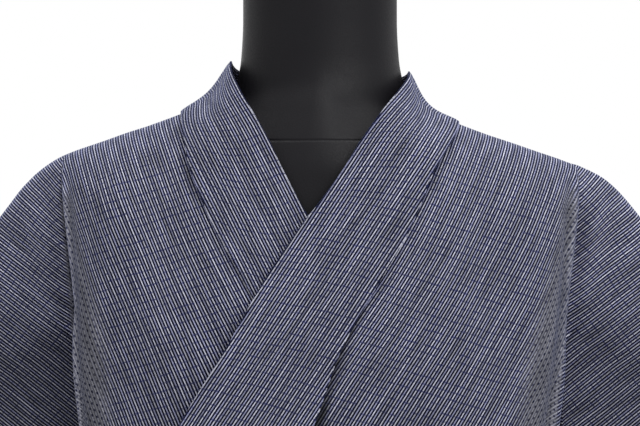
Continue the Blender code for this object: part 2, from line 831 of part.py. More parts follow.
def form_ring(height, count=32):
    """One ring of the dress form, lower on the wearer's left shoulder."""
    ring = []
    for index in range(count):
        angle = math.tau * index / count
        drop = 0.0
        if math.cos(angle) > 0.0:
            drop = SHOULDER_DROP * ease((height - 1.250) / 0.060) * ease((1.400 - height) / 0.020)
        placed = height + drop * ease(abs(math.cos(angle)) / 0.4)
        neck, widest, inset = read(FORM, placed)
        half_width = max(min(shoulder_reach(placed), widest), neck)
        x = half_width * math.cos(angle)
        face = BACK if math.sin(angle) >= 0.0 else FRONT
        y = form_depth(face, abs(x), placed, half_width, neck, inset)
        if index in (0, count // 2):
            y = 0.0
        ring.append(Vector((x, y * face, height)))
    return ring


def form_depth(face, x, height, half_width, neck, inset):
    """Half depth of the form at a distance from its middle plane."""
    throat = NECK_DEPTH * neck / NECK_WIDTH * math.sqrt(max(1.0 - (x / neck) ** 2, 0.0))
    _, front, back = read(TUBE, height)
    full = (front if face == FRONT else back) - inset
    rounding = max(1.0 - (x / (half_width + 0.004)) ** SECTION_POWER, 0.0) ** (1.0 / SECTION_POWER)
    chest = full * rounding
    if height > 1.240:
        ridge, roll = read(RIDGE, x)
        chest = full * mix(rounding, 1.0, ease((height - 1.24) / 0.06) * 0.35)
        cloth = quarter_depth(face, x * FORM_ROUNDER, height)
        clear = FORM_CLEAR
        if face == BACK:
            chest *= mix(1.0, BACK_SLACK, ease((height - 1.24) / 0.06))
            clear += BACK_DROP
        chest = min(chest, cloth - inset) * rolled((ridge - clear - height) / roll)
    return (chest ** 6 + throat ** 6) ** (1.0 / 6.0)


def form_torso(finish):
    data = bmesh.new()
    rings = [[data.verts.new(point) for point in form_ring(height)] for height in FORM_HEIGHTS]
    count = len(rings[0])
    for lower, upper in zip(rings, rings[1:]):
        for k in range(count):
            after = (k + 1) % count
            data.faces.new((lower[k], lower[after], upper[after], upper[k]))
    data.faces.new(reversed(rings[0]))
    data.faces.new(rings[-1])
    bmesh.ops.recalc_face_normals(data, faces=data.faces)
    return place_object("form_torso", data, finish)


def turned(name, profile, finish, count=36, flatten=1.0):
    """A solid turned about +Z from radius and height pairs."""
    data = bmesh.new()
    rings = []
    for radius, height in profile:
        rings.append([data.verts.new((radius * math.cos(math.tau * k / count),
                                      radius * flatten * math.sin(math.tau * k / count), height))
                      for k in range(count)])
    for lower, upper in zip(rings, rings[1:]):
        for k in range(count):
            after = (k + 1) % count
            data.faces.new((lower[k], lower[after], upper[after], upper[k]))
    data.faces.new(reversed(rings[0]))
    data.faces.new(rings[-1])
    return place_object(name, data, finish)


def neck_cap(finish):
    low = NECK_TOP + REST_GAP
    high = low + CAP_HEIGHT
    profile = ((0.0575, low), (0.0605, low + 0.0015), (0.0605, high - 0.002), (0.0580, high))
    return turned("neck_cap", profile, finish, count=28, flatten=NECK_DEPTH / NECK_WIDTH)


def stand_pole(finish):
    low = BASE_HEIGHT + REST_GAP
    high = FORM_BOTTOM - REST_GAP
    profile = ((POLE_RADIUS * 1.7, low), (POLE_RADIUS * 1.7, low + 0.020), (POLE_RADIUS, low + 0.030),
               (POLE_RADIUS, high - 0.020), (POLE_RADIUS * 1.7, high - 0.012), (POLE_RADIUS * 1.7, high))
    return turned("stand_pole", profile, finish, count=16)


def stand_base(finish):
    profile = ((BASE_RADIUS - 0.002, 0.0), (BASE_RADIUS, 0.002), (BASE_RADIUS, BASE_HEIGHT - 0.008),
               (BASE_RADIUS - 0.004, BASE_HEIGHT - 0.002), (BASE_RADIUS - 0.012, BASE_HEIGHT))
    return turned("stand_base", profile, finish, count=48)


def build():
    for made in list(bpy.data.objects):
        bpy.data.objects.remove(made)
    linen = material("linen", (0.16, 0.17, 0.24), 0.85)
    sash_cloth = material("sash_cotton", (0.012, 0.014, 0.035), 0.80)
    leather = material("form_leatherette", (0.018, 0.018, 0.022), 0.55)
    cap_wood = material("cap_black", (0.010, 0.010, 0.012), 0.45)
    steel = material("stand_black", (0.012, 0.012, 0.014), 0.40)
    for side, word in ((LEFT, "left"), (RIGHT, "right")):
        panel = panel_grid(side)
        sleeve = softened(sleeve_grid(side, panel), 1, 0.25)
        overlap = overlap_grid(side)
        panel = drawn_in(panel, ((0, 1), (-1, -2)))
        panel_normals, sleeve_normals = joined_normals(panel, sleeve)
        cloth_wall("body_" + word, panel, linen, normals=panel_normals)
        cloth_wall("sleeve_" + word, sleeve, linen, normals=sleeve_normals)
        cloth_wall("okumi_" + word, drawn_in(overlap, ((0, 1),)), linen)
    cloth_wall("collar", collar_grid(), linen)
    cloth_wall("sash", sash_grid(), sash_cloth, wall=SASH_WALL)
    form_torso(leather)
    neck_cap(cap_wood)
    stand_pole(steel)
    stand_base(steel)


build()
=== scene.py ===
"""Linen kimono on a limbless dress form: cloth, form, floor, lights and camera.

Everything is in metres in the part's frame: +Z up, the front faces -Y, the wearer's left is +X.
A pair named RANGE is where an eased change begins and where it is complete.
"""

import math
from collections import namedtuple
from functools import lru_cache

import bpy
import numpy as np
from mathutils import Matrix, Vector


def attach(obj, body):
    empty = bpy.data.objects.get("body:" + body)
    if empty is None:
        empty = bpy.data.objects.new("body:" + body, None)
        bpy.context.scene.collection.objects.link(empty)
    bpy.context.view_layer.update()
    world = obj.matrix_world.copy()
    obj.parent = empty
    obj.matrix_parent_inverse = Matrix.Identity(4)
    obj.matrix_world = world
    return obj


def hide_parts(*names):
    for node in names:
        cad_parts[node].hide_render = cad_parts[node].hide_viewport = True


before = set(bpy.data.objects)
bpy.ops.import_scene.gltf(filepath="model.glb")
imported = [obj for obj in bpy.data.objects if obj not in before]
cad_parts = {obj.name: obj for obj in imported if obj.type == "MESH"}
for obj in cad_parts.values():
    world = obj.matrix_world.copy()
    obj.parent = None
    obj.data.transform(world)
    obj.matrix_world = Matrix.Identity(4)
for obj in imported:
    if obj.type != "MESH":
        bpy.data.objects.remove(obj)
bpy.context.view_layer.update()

LEFT = 1
RIGHT = -1
FRONT = -1
BACK = 1


def table(columns, *rows):
    """Rows of numbers with named columns."""
    row = namedtuple("Row", columns)
    return tuple(row(*numbers) for numbers in rows)


def spaced(count, shares, heights):
    """Heights from the first to the last, set closer together where the shares say so."""
    return tuple(float(height) for height in np.interp(np.linspace(0.0, 1.0, count), shares, heights))


# Cloth walls and the gaps between layers
WALL = 0.0012
SEAM_GAP = 0.00012
LAYER = 0.0024
OVER_LIFT = 0.0062
SASH_WALL = 0.0022

# Heights of the armpit, of the overlap panel's point and of the sash
ARMPIT = 1.100
KENSAKI = 1.145
SASH_BOTTOM = 0.945
SASH_TOP = 1.045

# Across the body
SECTION_POWER = 2.5
CROSSING_SHIFT = -0.006
NECK_HALF = 0.098
NECK_DROP = 0.030
COLLAR_OVERLAP = 0.008
SHOULDER_DROP = 0.008
CREASE_WIDTH = 0.012
CREASE_TOP = 0.198
CREASE_SLIDE = 0.060
SLIDE_START = 1.262
SKIRT_CREASE_SHARE = 9 / 14
LAYER_TOP = 1.42

# The cloth tube round the form
TUBE = table(
    "height half_width front back",
    (0.100, 0.188, 0.120, 0.124),
    (0.400, 0.187, 0.119, 0.124),
    (0.700, 0.184, 0.117, 0.126),
    (0.850, 0.175, 0.112, 0.119),
    (0.990, 0.166, 0.108, 0.104),
    (1.100, 0.178, 0.113, 0.104),
    (1.200, 0.187, 0.113, 0.106),
    (1.280, 0.194, 0.105, 0.101),
    (1.335, 0.198, 0.096, 0.094),
    (1.420, 0.203, 0.085, 0.085),
)

# The crease between chest and sleeve: how far its valley stays from the side's middle, and its fold
CREASES = table(
    "height front_valley front_fold back_valley back_fold",
    (1.100, 0.0010, 0.030, 0.0010, 0.022),
    (1.130, 0.0100, 0.032, 0.0100, 0.024),
    (1.220, 0.0120, 0.030, 0.0120, 0.022),
    (1.280, 0.0220, 0.016, 0.0200, 0.012),
    (1.335, 0.0400, 0.002, 0.0350, 0.001),
    (1.420, 0.0450, 0.001, 0.0400, 0.001),
)

# The line along the shoulder and the sleeve's top fold, and how far the cloth rolls over it
RIDGE = table(
    "x height roll",
    (0.000, 1.4150, 0.085),
    (0.098, 1.3805, 0.085),
    (0.150, 1.3610, 0.075),
    (0.200, 1.3440, 0.050),
    (0.220, 1.3310, 0.040),
    (0.250, 1.2955, 0.030),
    (0.280, 1.2530, 0.025),
    (0.392, 0.9550, 0.020),
)

# The armhole seam, by the share of the way from the shoulder's ridge down to the armpit
ARMHOLE = table(
    "share x depth height",
    (0.00, 0.2800, 0.0000, 1.2530),
    (0.08, 0.2790, 0.0080, 1.2515),
    (0.17, 0.2700, 0.0145, 1.2480),
    (0.25, 0.2570, 0.0170, 1.2455),
    (0.33, 0.2430, 0.0180, 1.2415),
    (0.42, 0.2290, 0.0190, 1.2370),
    (0.50, 0.2150, 0.0200, 1.2295),
    (0.58, 0.2050, 0.0190, 1.2180),
    (0.67, 0.1915, 0.0112, 1.2030),
    (0.75, 0.1860, 0.0120, 1.1860),
    (0.83, 0.1830, 0.0110, 1.1600),
    (0.92, 0.1800, 0.0090, 1.1310),
    (1.00, 0.1780, 0.0010, 1.1000),
)

# Distances round the front from its middle to the outer and the free edge of the collar
BAND = table(
    "height seam edge",
    (0.800, -0.130, -0.208),
    (0.900, -0.115, -0.200),
    (1.000, -0.076, -0.172),
    (1.050, -0.050, -0.146),
    (1.100, -0.022, -0.118),
    (1.145, 0.001, -0.095),
    (1.198, 0.020, -0.063),
    (1.250, 0.049, -0.034),
    (1.288, 0.071, -0.009),
    (1.334, 0.090, 0.027),
    (1.378, 0.106, 0.051),
)

# The front panel's inner edge above the overlap panel, and the overlap panel's seam and free edge
INNER = table(
    "height panel overlap_edge",
    (0.100, -0.060, -0.205),
    (0.750, -0.060, -0.205),
    (0.800, -0.058, -0.203),
    (0.900, -0.050, -0.150),
    (1.050, -0.025, -0.078),
    (1.145, -0.008, -0.016),
)

# How far round the front the under layer holds the over layer up
HELD = table(
    "height reach",
    (0.100, 0.268),
    (0.900, 0.268),
    (1.000, 0.235),
    (1.100, 0.190),
    (1.200, 0.150),
    (1.420, 0.110),
)

# Side seam: its distance round the tube from the middle of the front
SIDE_SEAM = table("height along", (0.100, 0.196), (0.700, 0.196), (0.990, 0.205))

# The sleeve's two hanging edges, by the share of the way from its top fold to its bottom
SLEEVE_HANG = table(
    "share inner outer",
    (0.000, 0.280, 0.392),
    (0.345, 0.186, 0.382),
    (0.600, 0.188, 0.360),
    (1.000, 0.192, 0.318),
)

# The height of the sleeve's bottom edge, by the share of the way from armhole to cuff
SLEEVE_BOTTOM = table(
    "across height", (0.00, 0.805), (0.50, 0.640), (0.85, 0.520), (0.95, 0.512), (1.00, 0.530))

# The dress form under the cloth: the neck's half width, the widest that the body gets, and its inset
FORM = table(
    "height neck widest inset",
    (0.690, 0.060, 0.120, 0.050),
    (0.694, 0.060, 0.142, 0.030),
    (0.710, 0.060, 0.162, 0.016),
    (0.750, 0.060, 0.171, 0.011),
    (0.850, 0.060, 0.163, 0.010),
    (0.990, 0.060, 0.155, 0.009),
    (1.100, 0.060, 0.163, 0.009),
    (1.200, 0.060, 0.172, 0.007),
    (1.280, 0.062, 0.176, 0.005),
    (1.320, 0.066, 0.180, 0.0035),
    (1.340, 0.069, 0.180, 0.0025),
    (1.380, 0.070, 0.180, 0.0025),
    (1.400, 0.065, 0.180, 0.0025),
    (1.420, 0.0615, 0.180, 0.0025),
    (1.450, 0.060, 0.180, 0.0025),
    (1.495, 0.060, 0.180, 0.0025),
)
FORM_CLEAR = 0.0016
FORM_ROUNDER = 1.07
NECK_WIDTH = 0.0600
NECK_DEPTH = 0.0560
NECK_SEAM = 1.354
BACK_SLACK = 0.93
BACK_DROP = 0.0035
FORM_HEIGHTS = spaced(110, (0.0, 0.04, 0.42, 0.90, 1.0), (0.690, 0.712, 1.240, 1.430, 1.495))
FORM_HEIGHTS = tuple(sorted(FORM_HEIGHTS + tuple(NECK_SEAM + 0.00045 * step for step in range(-5, 6))))

# The rows and columns of the cloth
CHEST_COLUMNS = 48
CAP_SHARES = tuple(float(share) for share in np.linspace(0.0, 1.0, 35) ** 1.3)
COLUMNS = [index / CHEST_COLUMNS for index in range(CHEST_COLUMNS)] + [1.0 + share for share in CAP_SHARES]
ROLL_ROWS = 26
CHEST_ROWS = 26
UPPER_ROWS = ROLL_ROWS + CHEST_ROWS
SKIRT_HEIGHTS = tuple(float(height) for height in np.linspace(0.10, 1.078, 48))
RIDGE_ROW = len(SKIRT_HEIGHTS) + UPPER_ROWS
OVERLAP_HEIGHTS = SKIRT_HEIGHTS + (1.090, ARMPIT, 1.110, 1.122, 1.135)
OVERLAP_COLUMNS = 24
SLEEVE_COLUMNS = 48
SLEEVE_FREE_ROWS = 40
SLEEVE_RIDGE_ROW = SLEEVE_FREE_ROWS + UPPER_ROWS
COLLAR_NECK_ROWS = 72
COLLAR_HEIGHTS = spaced(120, (0.0, 0.55, 1.0), (0.800, 1.150, 1.376))
COLLAR_COLUMNS = 16
SASH_COLUMNS = 240
SASH_ROWS = 12


@lru_cache(maxsize=None)
def curve_data(rows):
    """Keys, values and slopes of the smooth curves through a table's rows."""
    rows = np.array(rows, dtype=float)
    keys = rows[:, 0]
    values = rows[:, 1:]
    steps = np.diff(values, axis=0) / np.diff(keys)[:, None]
    slopes = np.zeros_like(values)
    slopes[0] = steps[0]
    slopes[-1] = steps[-1]
    same_way = steps[:-1] * steps[1:] > 0.0
    total = np.where(same_way, steps[:-1] + steps[1:], 1.0)
    slopes[1:-1] = np.where(same_way, 2.0 * steps[:-1] * steps[1:] / total, 0.0)
    return keys, values, slopes


def read(rows, place):
    """Values of a table's other columns at a place in its first, on smooth curves."""
    keys, values, slopes = curve_data(rows)
    place = min(max(place, keys[0]), keys[-1])
    row = min(int(np.searchsorted(keys, place, side="right")) - 1, len(keys) - 2)
    span = keys[row + 1] - keys[row]
    t = (place - keys[row]) / span
    start = (1 + 2 * t) * (1 - t) ** 2 * values[row] + t * (1 - t) ** 2 * span * slopes[row]
    end = t * t * (3 - 2 * t) * values[row + 1] - t * t * (1 - t) * span * slopes[row + 1]
    return start + end


def held_in(share):
    return min(max(share, 0.0), 1.0)


def ramp(value, start, end):
    """Eased share of the way that a value has gone from a start to an end."""
    share = held_in((value - start) / (end - start))
    return share * share * (3.0 - 2.0 * share)


def mix(first, second, share):
    return first + (second - first) * share


def bell(value, middle, width):
    return math.exp(-((value - middle) / width) ** 2)


def mirrored(point, side):
    return Vector((point.x * side, point.y, point.z))


def side_of(point):
    return LEFT if point.x > 0.0 else RIGHT


@lru_cache(maxsize=None)
def quarter(height, face):
    """One quarter of the cloth tube from the middle of a face to its side, with arc lengths."""
    half_width, front, back = read(TUBE, height)
    front_valley, _, back_valley, _ = read(CREASES, height)
    depth, valley = (front, front_valley) if face == FRONT else (back, back_valley)
    if height <= ARMPIT:
        valley = 0.0
    angle = np.linspace(0.0, math.pi / 2, 49)
    power = 2.0 / SECTION_POWER
    x = half_width * np.sin(angle) ** power
    y = valley + (depth - valley) * np.abs(np.cos(angle)) ** power
    length = np.concatenate(([0.0], np.cumsum(np.hypot(np.diff(x), np.diff(y)))))
    return x, y, length


def quarter_length(height, face):
    return quarter(height, face)[2][-1]


def quarter_depth(face, x, height):
    """Depth of the cloth beside the chest at a distance from the middle plane."""
    section_x, section_y, _ = quarter(height, face)
    return np.interp(x, section_x, section_y)


def half_round(height):
    return quarter_length(height, FRONT) + quarter_length(height, BACK)


def tube_point(height, along):
    """A point of the closed tube, its distance along measured from the middle of the front."""
    reach = abs(along)
    x, y, length = quarter(height, FRONT)
    face = FRONT
    if reach > length[-1]:
        left_over = reach - length[-1]
        x, y, length = quarter(height, BACK)
        reach = length[-1] - left_over
        face = BACK
    return math.copysign(np.interp(reach, length, x), along), face * np.interp(reach, length, y)


NORMAL_STEP = 0.004


def lifted_point(height, along, lift):
    """A point that stands off the tube."""
    x, y = tube_point(height, along)
    ahead_x, ahead_y = tube_point(height, along + NORMAL_STEP)
    behind_x, behind_y = tube_point(height, along - NORMAL_STEP)
    normal = Vector((-(ahead_y - behind_y), ahead_x - behind_x, 0.0)).normalized()
    return Vector((x, y, height)) - normal * lift


HELD_FADE = 0.045
HELD_RANGE = (1.372, 1.312)


def held_up(height, along):
    """How far the over layer stands off, where the under layer lies beneath it."""
    reach = read(HELD, height)[0]
    return OVER_LIFT * ramp(along, reach, reach - HELD_FADE) * ramp(height, *HELD_RANGE)


def layer_point(side, height, along):
    """A point of a front on the tube, for a distance toward the front's own side."""
    return lifted_point(height, along, held_up(height, along) if side == LEFT else 0.0)


SHOULDER_DROP_RANGE = (0.250, 0.190)


def shoulder_height(side, x):
    """Height of the shoulder line, lower on the wearer's left."""
    height = read(RIDGE, x)[0]
    if side == LEFT:
        height -= SHOULDER_DROP * ramp(x, *SHOULDER_DROP_RANGE)
    return height


def rolled(share):
    """Share of the full depth reached at a share of the roll's height below the ridge."""
    return math.sqrt(1.0 - (1.0 - held_in(share)) ** 2)


def shoulder_roll(side, x, height):
    """Share of its full depth that the cloth has at a height below the shoulder line."""
    return rolled((shoulder_height(side, x) - height) / read(RIDGE, x)[1])


def upper_point(face, height, along):
    """A point beside the chest or out on the sleeve's cap, before the cloth rolls over the ridge."""
    x, y, length = quarter(height, face)
    reach = abs(along)
    if reach <= length[-1]:
        return np.interp(reach, length, x), np.interp(reach, length, y)
    return x[-1] + reach - length[-1], y[-1]


def lifted_front(height, along, x, y):
    """A place on the front of the chest, moved out by what holds the over layer up."""
    level = min(height, LAYER_TOP)
    length = quarter_length(level, FRONT)
    ahead_x, ahead_y = upper_point(FRONT, level, min(abs(along) + NORMAL_STEP, length))
    behind_x, behind_y = upper_point(FRONT, level, max(abs(along) - NORMAL_STEP, 0.0))
    out_x = behind_y - ahead_y
    out_y = ahead_x - behind_x
    size = math.hypot(out_x, out_y)
    lift = held_up(height, along)
    return x + math.copysign(out_x, along) / size * lift, y + out_y / size * lift


def inner_edge(height):
    """Distance from the middle of the front to the front panel's inner edge."""
    if height >= KENSAKI:
        return read(BAND, height)[0] - COLLAR_OVERLAP
    return read(INNER, height)[0]


SHIFT_RANGE = (0.90, 1.05)
SHIFT_TOP_RANGE = (1.378, 1.328)


def shift(height):
    """How far the crossing lies toward the wearer's right."""
    return CROSSING_SHIFT * ramp(height, *SHIFT_RANGE) * ramp(height, *SHIFT_TOP_RANGE)


WAIST = 0.99


def side_along(height):
    """Distance round the tube to the side seam."""
    if height >= ARMPIT:
        return quarter_length(height, FRONT)
    low = read(SIDE_SEAM, height)[0]
    return mix(low, quarter_length(ARMPIT, FRONT), ramp(height, WAIST, ARMPIT))


def crease_slide(height):
    """How far the column of the crease has moved in from the crease, toward the armpit."""
    return CREASE_SLIDE * ramp(height, SLIDE_START, ARMPIT)


def panel_along(face, side, height, column):
    """Distance along the upper section of a column: 0 inner edge, 1 crease."""
    crease = quarter_length(height, face) - crease_slide(height)
    inner = inner_edge(height) + side * shift(height) if face == FRONT else 0.0
    return mix(inner, crease, column)


SLEEVE_TOP_INNER = 0.280
SLEEVE_TOP_OUTER = 0.392


def column_top(side, column):
    """The x and height where a column of the panel meets the shoulder line."""
    if column <= 1.0:
        x = mix(NECK_HALF, CREASE_TOP, column)
    else:
        x = mix(CREASE_TOP, SLEEVE_TOP_INNER, column - 1.0)
    return x, shoulder_height(side, x)


ARMHOLE_JOIN_RANGE = (1.200, 1.180)


def armhole_point(face, share):
    """A point of the armhole seam, which joins the body's side toward the armpit."""
    x, depth, height = read(ARMHOLE, share)
    side_x, side_y, _ = quarter(height, face)
    joined = ramp(height, *ARMHOLE_JOIN_RANGE)
    return Vector((mix(x, side_x[-1], joined), face * mix(depth, side_y[-1], joined), height))


FULL_FOLD_WIDTH = 0.050


def cap_point(face, side, share, across, start):
    """A point between the crease's column and the armhole seam, with the fold beside the crease."""
    end = armhole_point(face, share)
    slide = crease_slide(start.z)
    valley = start.copy()
    height = mix(start.z, end.z, across)
    if slide > 0.0:
        x, y, _ = quarter(height, face)
        valley = Vector((x[-1], face * y[-1], height))
    width = math.hypot(end.x - valley.x, end.y - valley.y)
    beyond = across * (slide + width) - slide
    if beyond <= 0.0:
        x, y = upper_point(face, height, quarter_length(height, face) + beyond)
        return Vector((x, y * face, height))
    _, front_fold, _, back_fold = read(CREASES, start.z)
    fold = front_fold if face == FRONT else back_fold
    rise = min(beyond / CREASE_WIDTH, 1.0)
    bump = fold * min(width / FULL_FOLD_WIDTH, 1.0) ** 2 * (1.0 - beyond / width) * rise * (2.0 - rise)
    point = valley.lerp(Vector((end.x, end.y, valley.z)), beyond / width)
    inner, outer = (shoulder_height(side, top) for top in (CREASE_TOP, SLEEVE_TOP_INNER))
    bow = column_top(side, 1.0 + across)[1] - mix(inner, outer, across)
    return Vector((point.x, point.y + face * bump, height + bow * (1.0 - share) ** 2))


NECKLINE_FADE = 0.030
TOP_FADE = 0.035


def neckline_x(drop):
    """Half width of the neck opening behind, at a drop below the shoulder line."""
    share = min(drop / NECK_DROP, 1.0)
    return NECK_HALF * math.sqrt(max(1.0 - share * share, 0.0))


def upper_panel_point(face, side, column, height):
    """A point of a body panel between the armpit and the shoulder line, for the wearer's left."""
    top_x, top_z = column_top(side, column)
    along = panel_along(face, side, height, column)
    x, y = upper_point(face, height, along)
    x = math.copysign(x, along)
    drop = top_z - height
    if face == BACK and column < 1.0:
        settle = ramp(drop, 0.0, read(RIDGE, top_x)[1] + NECKLINE_FADE)
        x = mix(neckline_x(drop) * (1.0 - column) + top_x * column, x, settle)
    else:
        settle = ramp(drop, 0.0, TOP_FADE)
        x = mix(top_x, x, settle)
    y = mix(quarter_depth(face, abs(x), height), y, settle)
    y *= shoulder_roll(side, abs(x), height)
    if side == LEFT and face == FRONT:
        x, y = lifted_front(height, along, x, y)
    return Vector((x, y * face, height))


CHEST_ROLL = 0.085


def chest_surface(side, along, height, ridge_height):
    """The front of the chest, where the collar lies on it."""
    x, y = upper_point(FRONT, min(height, LAYER_TOP), along)
    x = math.copysign(x, along)
    y *= rolled((ridge_height - height) / CHEST_ROLL)
    if side == LEFT:
        x, y = lifted_front(height, along, x, y)
    return Vector((x, -y, height))


CREASE_SHARE_START = 0.86


def skirt_share(height, inner, column):
    """Share of the way from the panel's inner edge to its side seam, for a column below the armpit."""
    length = quarter_length(ARMPIT, FRONT)
    at_armpit = (length - CREASE_SLIDE - inner) / (length - inner)
    crease = mix(SKIRT_CREASE_SHARE, at_armpit, ramp(height, CREASE_SHARE_START, ARMPIT))
    return crease * column if column <= 1.0 else mix(crease, 1.0, column - 1.0)


def skirt_row(side, height, start, inner):
    """One row of a body panel below the armpit, from a distance round the tube to the side seam."""
    seam = side_along(height)
    return [layer_point(side, height, mix(start, seam, skirt_share(height, inner, column)))
            for column in COLUMNS]


def upper_row(face, side, index, heights):
    """One row of a body panel between its ridge and the armpit."""
    row = [upper_panel_point(face, side, column, heights[place][index])
           for place, column in enumerate(COLUMNS) if column <= 1.0]
    start = row[-1].copy()
    share = (index + 1) / UPPER_ROWS
    return row + [cap_point(face, side, share, column - 1.0, start) for column in COLUMNS[len(row):]]


def column_heights(side, column):
    """Heights of a column's upper rows, from the shoulder line down to just above the armpit."""
    top_x, top_z = column_top(side, column)
    roll = read(RIDGE, top_x)[1]
    turn = [math.pi / 2 * index / ROLL_ROWS for index in range(1, ROLL_ROWS + 1)]
    heights = [top_z - roll * (1.0 - math.cos(angle)) for angle in turn]
    return heights + [mix(heights[-1], ARMPIT, index / CHEST_ROWS) for index in range(1, CHEST_ROWS + 1)]


def panel_grid(side):
    """Rows of a body panel from its front hem over the shoulder to its back hem."""
    heights = [column_heights(side, column) for column in COLUMNS]
    inner = {height: inner_edge(height) + side * shift(height) for height in SKIRT_HEIGHTS}
    rows = [skirt_row(side, height, inner[height], inner[height]) for height in SKIRT_HEIGHTS]
    rows += [upper_row(FRONT, side, index, heights) for index in reversed(range(UPPER_ROWS))]
    tops = [column_top(side, column) for column in COLUMNS]
    rows.append([Vector((x, 0.0, height)) for x, height in tops])
    rows += [upper_row(BACK, side, index, heights) for index in range(UPPER_ROWS)]
    rows += [skirt_row(side, height, half_round(height), 0.0) for height in reversed(SKIRT_HEIGHTS)]
    return [[mirrored(point, side) for point in row] for row in rows]


# The sleeve, in shares of the way from its top fold down and from the armhole across to the cuff
SLEEVE_JOIN = 3 / 7
SLEEVE_WAVES = 2.0
SLEEVE_WAVE_START = 0.6
SLEEVE_WAVE_DEPTH = 0.008
SLEEVE_HALF_GAP = 0.017
SLEEVE_NOSE = 0.016
SLEEVE_TOP_ROLL = 0.060
SLEEVE_BOTTOM_ROLL = 0.10
CUFF_ROLL = 0.12
CUFF_RANGE = (0.46, 0.50)
DEEP_RANGE = (0.0, 0.35)
SHALLOW_RANGE = (1.035, 0.935)
ARMHOLE_APART = 0.0045
ARMHOLE_APART_RANGE = (1.205, 1.125)
ARMHOLE_REACH = 0.45


def sleeve_rows(side):
    """Shares of the way down the sleeve, those beside the armhole first."""
    top = shoulder_height(side, SLEEVE_TOP_INNER)
    heights = [read(ARMHOLE, (index + 1) / UPPER_ROWS)[2] for index in range(UPPER_ROWS)]
    span = top - read(SLEEVE_BOTTOM, 0.0)[0]
    rows = [(top - height) / span for height in heights]
    start = rows[-1]
    return rows + [mix(start, 1.0, index / SLEEVE_FREE_ROWS) for index in range(1, SLEEVE_FREE_ROWS + 1)]


def sleeve_point(face, side, across, down):
    """A point of the sleeve: across from the armhole to the cuff, down from top fold to bottom."""
    inner_x, outer_x = read(SLEEVE_HANG, down)
    top_z = shoulder_height(side, mix(SLEEVE_TOP_INNER, SLEEVE_TOP_OUTER, across))
    height = mix(top_z, read(SLEEVE_BOTTOM, across)[0], down)
    near_cuff = mix(1.0, rolled((1.0 - across) / CUFF_ROLL), ramp(down, *CUFF_RANGE))
    near_ends = rolled(down / SLEEVE_TOP_ROLL) * rolled((1.0 - down) / SLEEVE_BOTTOM_ROLL)
    gap = SLEEVE_HALF_GAP * near_ends * near_cuff + WALL / 2 + SEAM_GAP / 2
    deep = ramp(down, *DEEP_RANGE) * ramp(down, *SHALLOW_RANGE)
    y = SLEEVE_WAVE_DEPTH * deep * math.sin(math.tau * SLEEVE_WAVES * across + SLEEVE_WAVE_START)
    y += face * gap
    if face == FRONT:
        y -= SLEEVE_NOSE * bell(across, 0.13, 0.09) * deep
    return Vector((mix(inner_x, outer_x, across), y, height))


def sleeve_grid(side, panel):
    """Rows of a sleeve from its front bottom edge over the top fold to its back bottom edge."""
    downs = sleeve_rows(side)
    shares = [index / SLEEVE_COLUMNS for index in range(SLEEVE_COLUMNS + 1)]
    shares.insert(1, shares[1] * 0.5)
    tops = [mix(SLEEVE_TOP_INNER, SLEEVE_TOP_OUTER, across) for across in shares]
    rows = [[sleeve_point(FRONT, side, across, down) for across in shares] for down in reversed(downs)]
    rows.append([Vector((top, 0.0, shoulder_height(side, top))) for top in tops])
    rows += [[sleeve_point(BACK, side, across, down) for across in shares] for down in downs]
    rows = [[mirrored(point, side) for point in row] for row in rows]
    fades = [(1.0 - min(across / ARMHOLE_REACH, 1.0)) ** 2 for across in shares]
    offsets = []
    for step in range(-UPPER_ROWS, UPPER_ROWS + 1):
        before, here, after = panel[RIDGE_ROW + step - 1:RIDGE_ROW + step + 2]
        seam = here[-1]
        tangent = (after[-1] - before[-1]).normalized()
        away = seam - here[-2]
        away = (away - tangent * away.dot(tangent)).normalized() * SEAM_GAP
        face = FRONT if step < 0 else BACK
        apart = ARMHOLE_APART * ramp(seam.z, *ARMHOLE_APART_RANGE)
        target = seam + away + Vector((side * apart, face * apart, 0.0))
        offsets.append(target - rows[SLEEVE_RIDGE_ROW + step][0])
    for index, row in enumerate(rows):
        step = index - SLEEVE_RIDGE_ROW
        nearest = min(max(step, -UPPER_ROWS), UPPER_ROWS)
        beyond = abs(step - nearest)
        offset = offsets[nearest + UPPER_ROWS] * max(1.0 - beyond / (SLEEVE_JOIN * SLEEVE_FREE_ROWS), 0.0)
        for place, fade in enumerate(fades):
            row[place] = row[place] + offset * fade
    return rows


def direction(before, point, after):
    """Direction of a line of points at one of them, which halves its bend there."""
    return (after - point).normalized() + (point - before).normalized()


def normals_of(grid):
    """A normal for each point of a grid, from its neighbours."""
    normals = []
    for index, points in enumerate(grid):
        above = grid[max(index - 1, 0)]
        below = grid[min(index + 1, len(grid) - 1)]
        row = []
        for place, point in enumerate(points):
            across = direction(points[max(place - 1, 0)], point, points[min(place + 1, len(points) - 1)])
            down = direction(above[place], point, below[place])
            row.append(across.cross(down).normalized())
        normals.append(row)
    return normals


def joined_normals(panel, sleeve):
    """Normals of a body panel and its sleeve, shared along the armhole."""
    panel_normals = normals_of(panel)
    sleeve_normals = normals_of(sleeve)
    for step in range(-UPPER_ROWS + 1, UPPER_ROWS):
        inner = panel_normals[RIDGE_ROW + step]
        outer = sleeve_normals[SLEEVE_RIDGE_ROW + step]
        shared = (inner[-1] + outer[0]).normalized()
        inner[-1] = shared
        outer[0] = shared
    return panel_normals, sleeve_normals


def faced(normals, row, place):
    """Normals turned so that the one at a row and place faces the front, and whether they turned."""
    if normals[row][place].y <= 0.0:
        return normals, False
    return [[-normal for normal in directions] for directions in normals], True


def drawn_in(grid, sides):
    """Pull the named edge columns of a grid in by half a seam's gap."""
    for row in grid:
        for place, neighbour in sides:
            row[place] = row[place] + (row[neighbour] - row[place]).normalized() * (SEAM_GAP / 2)
    return grid


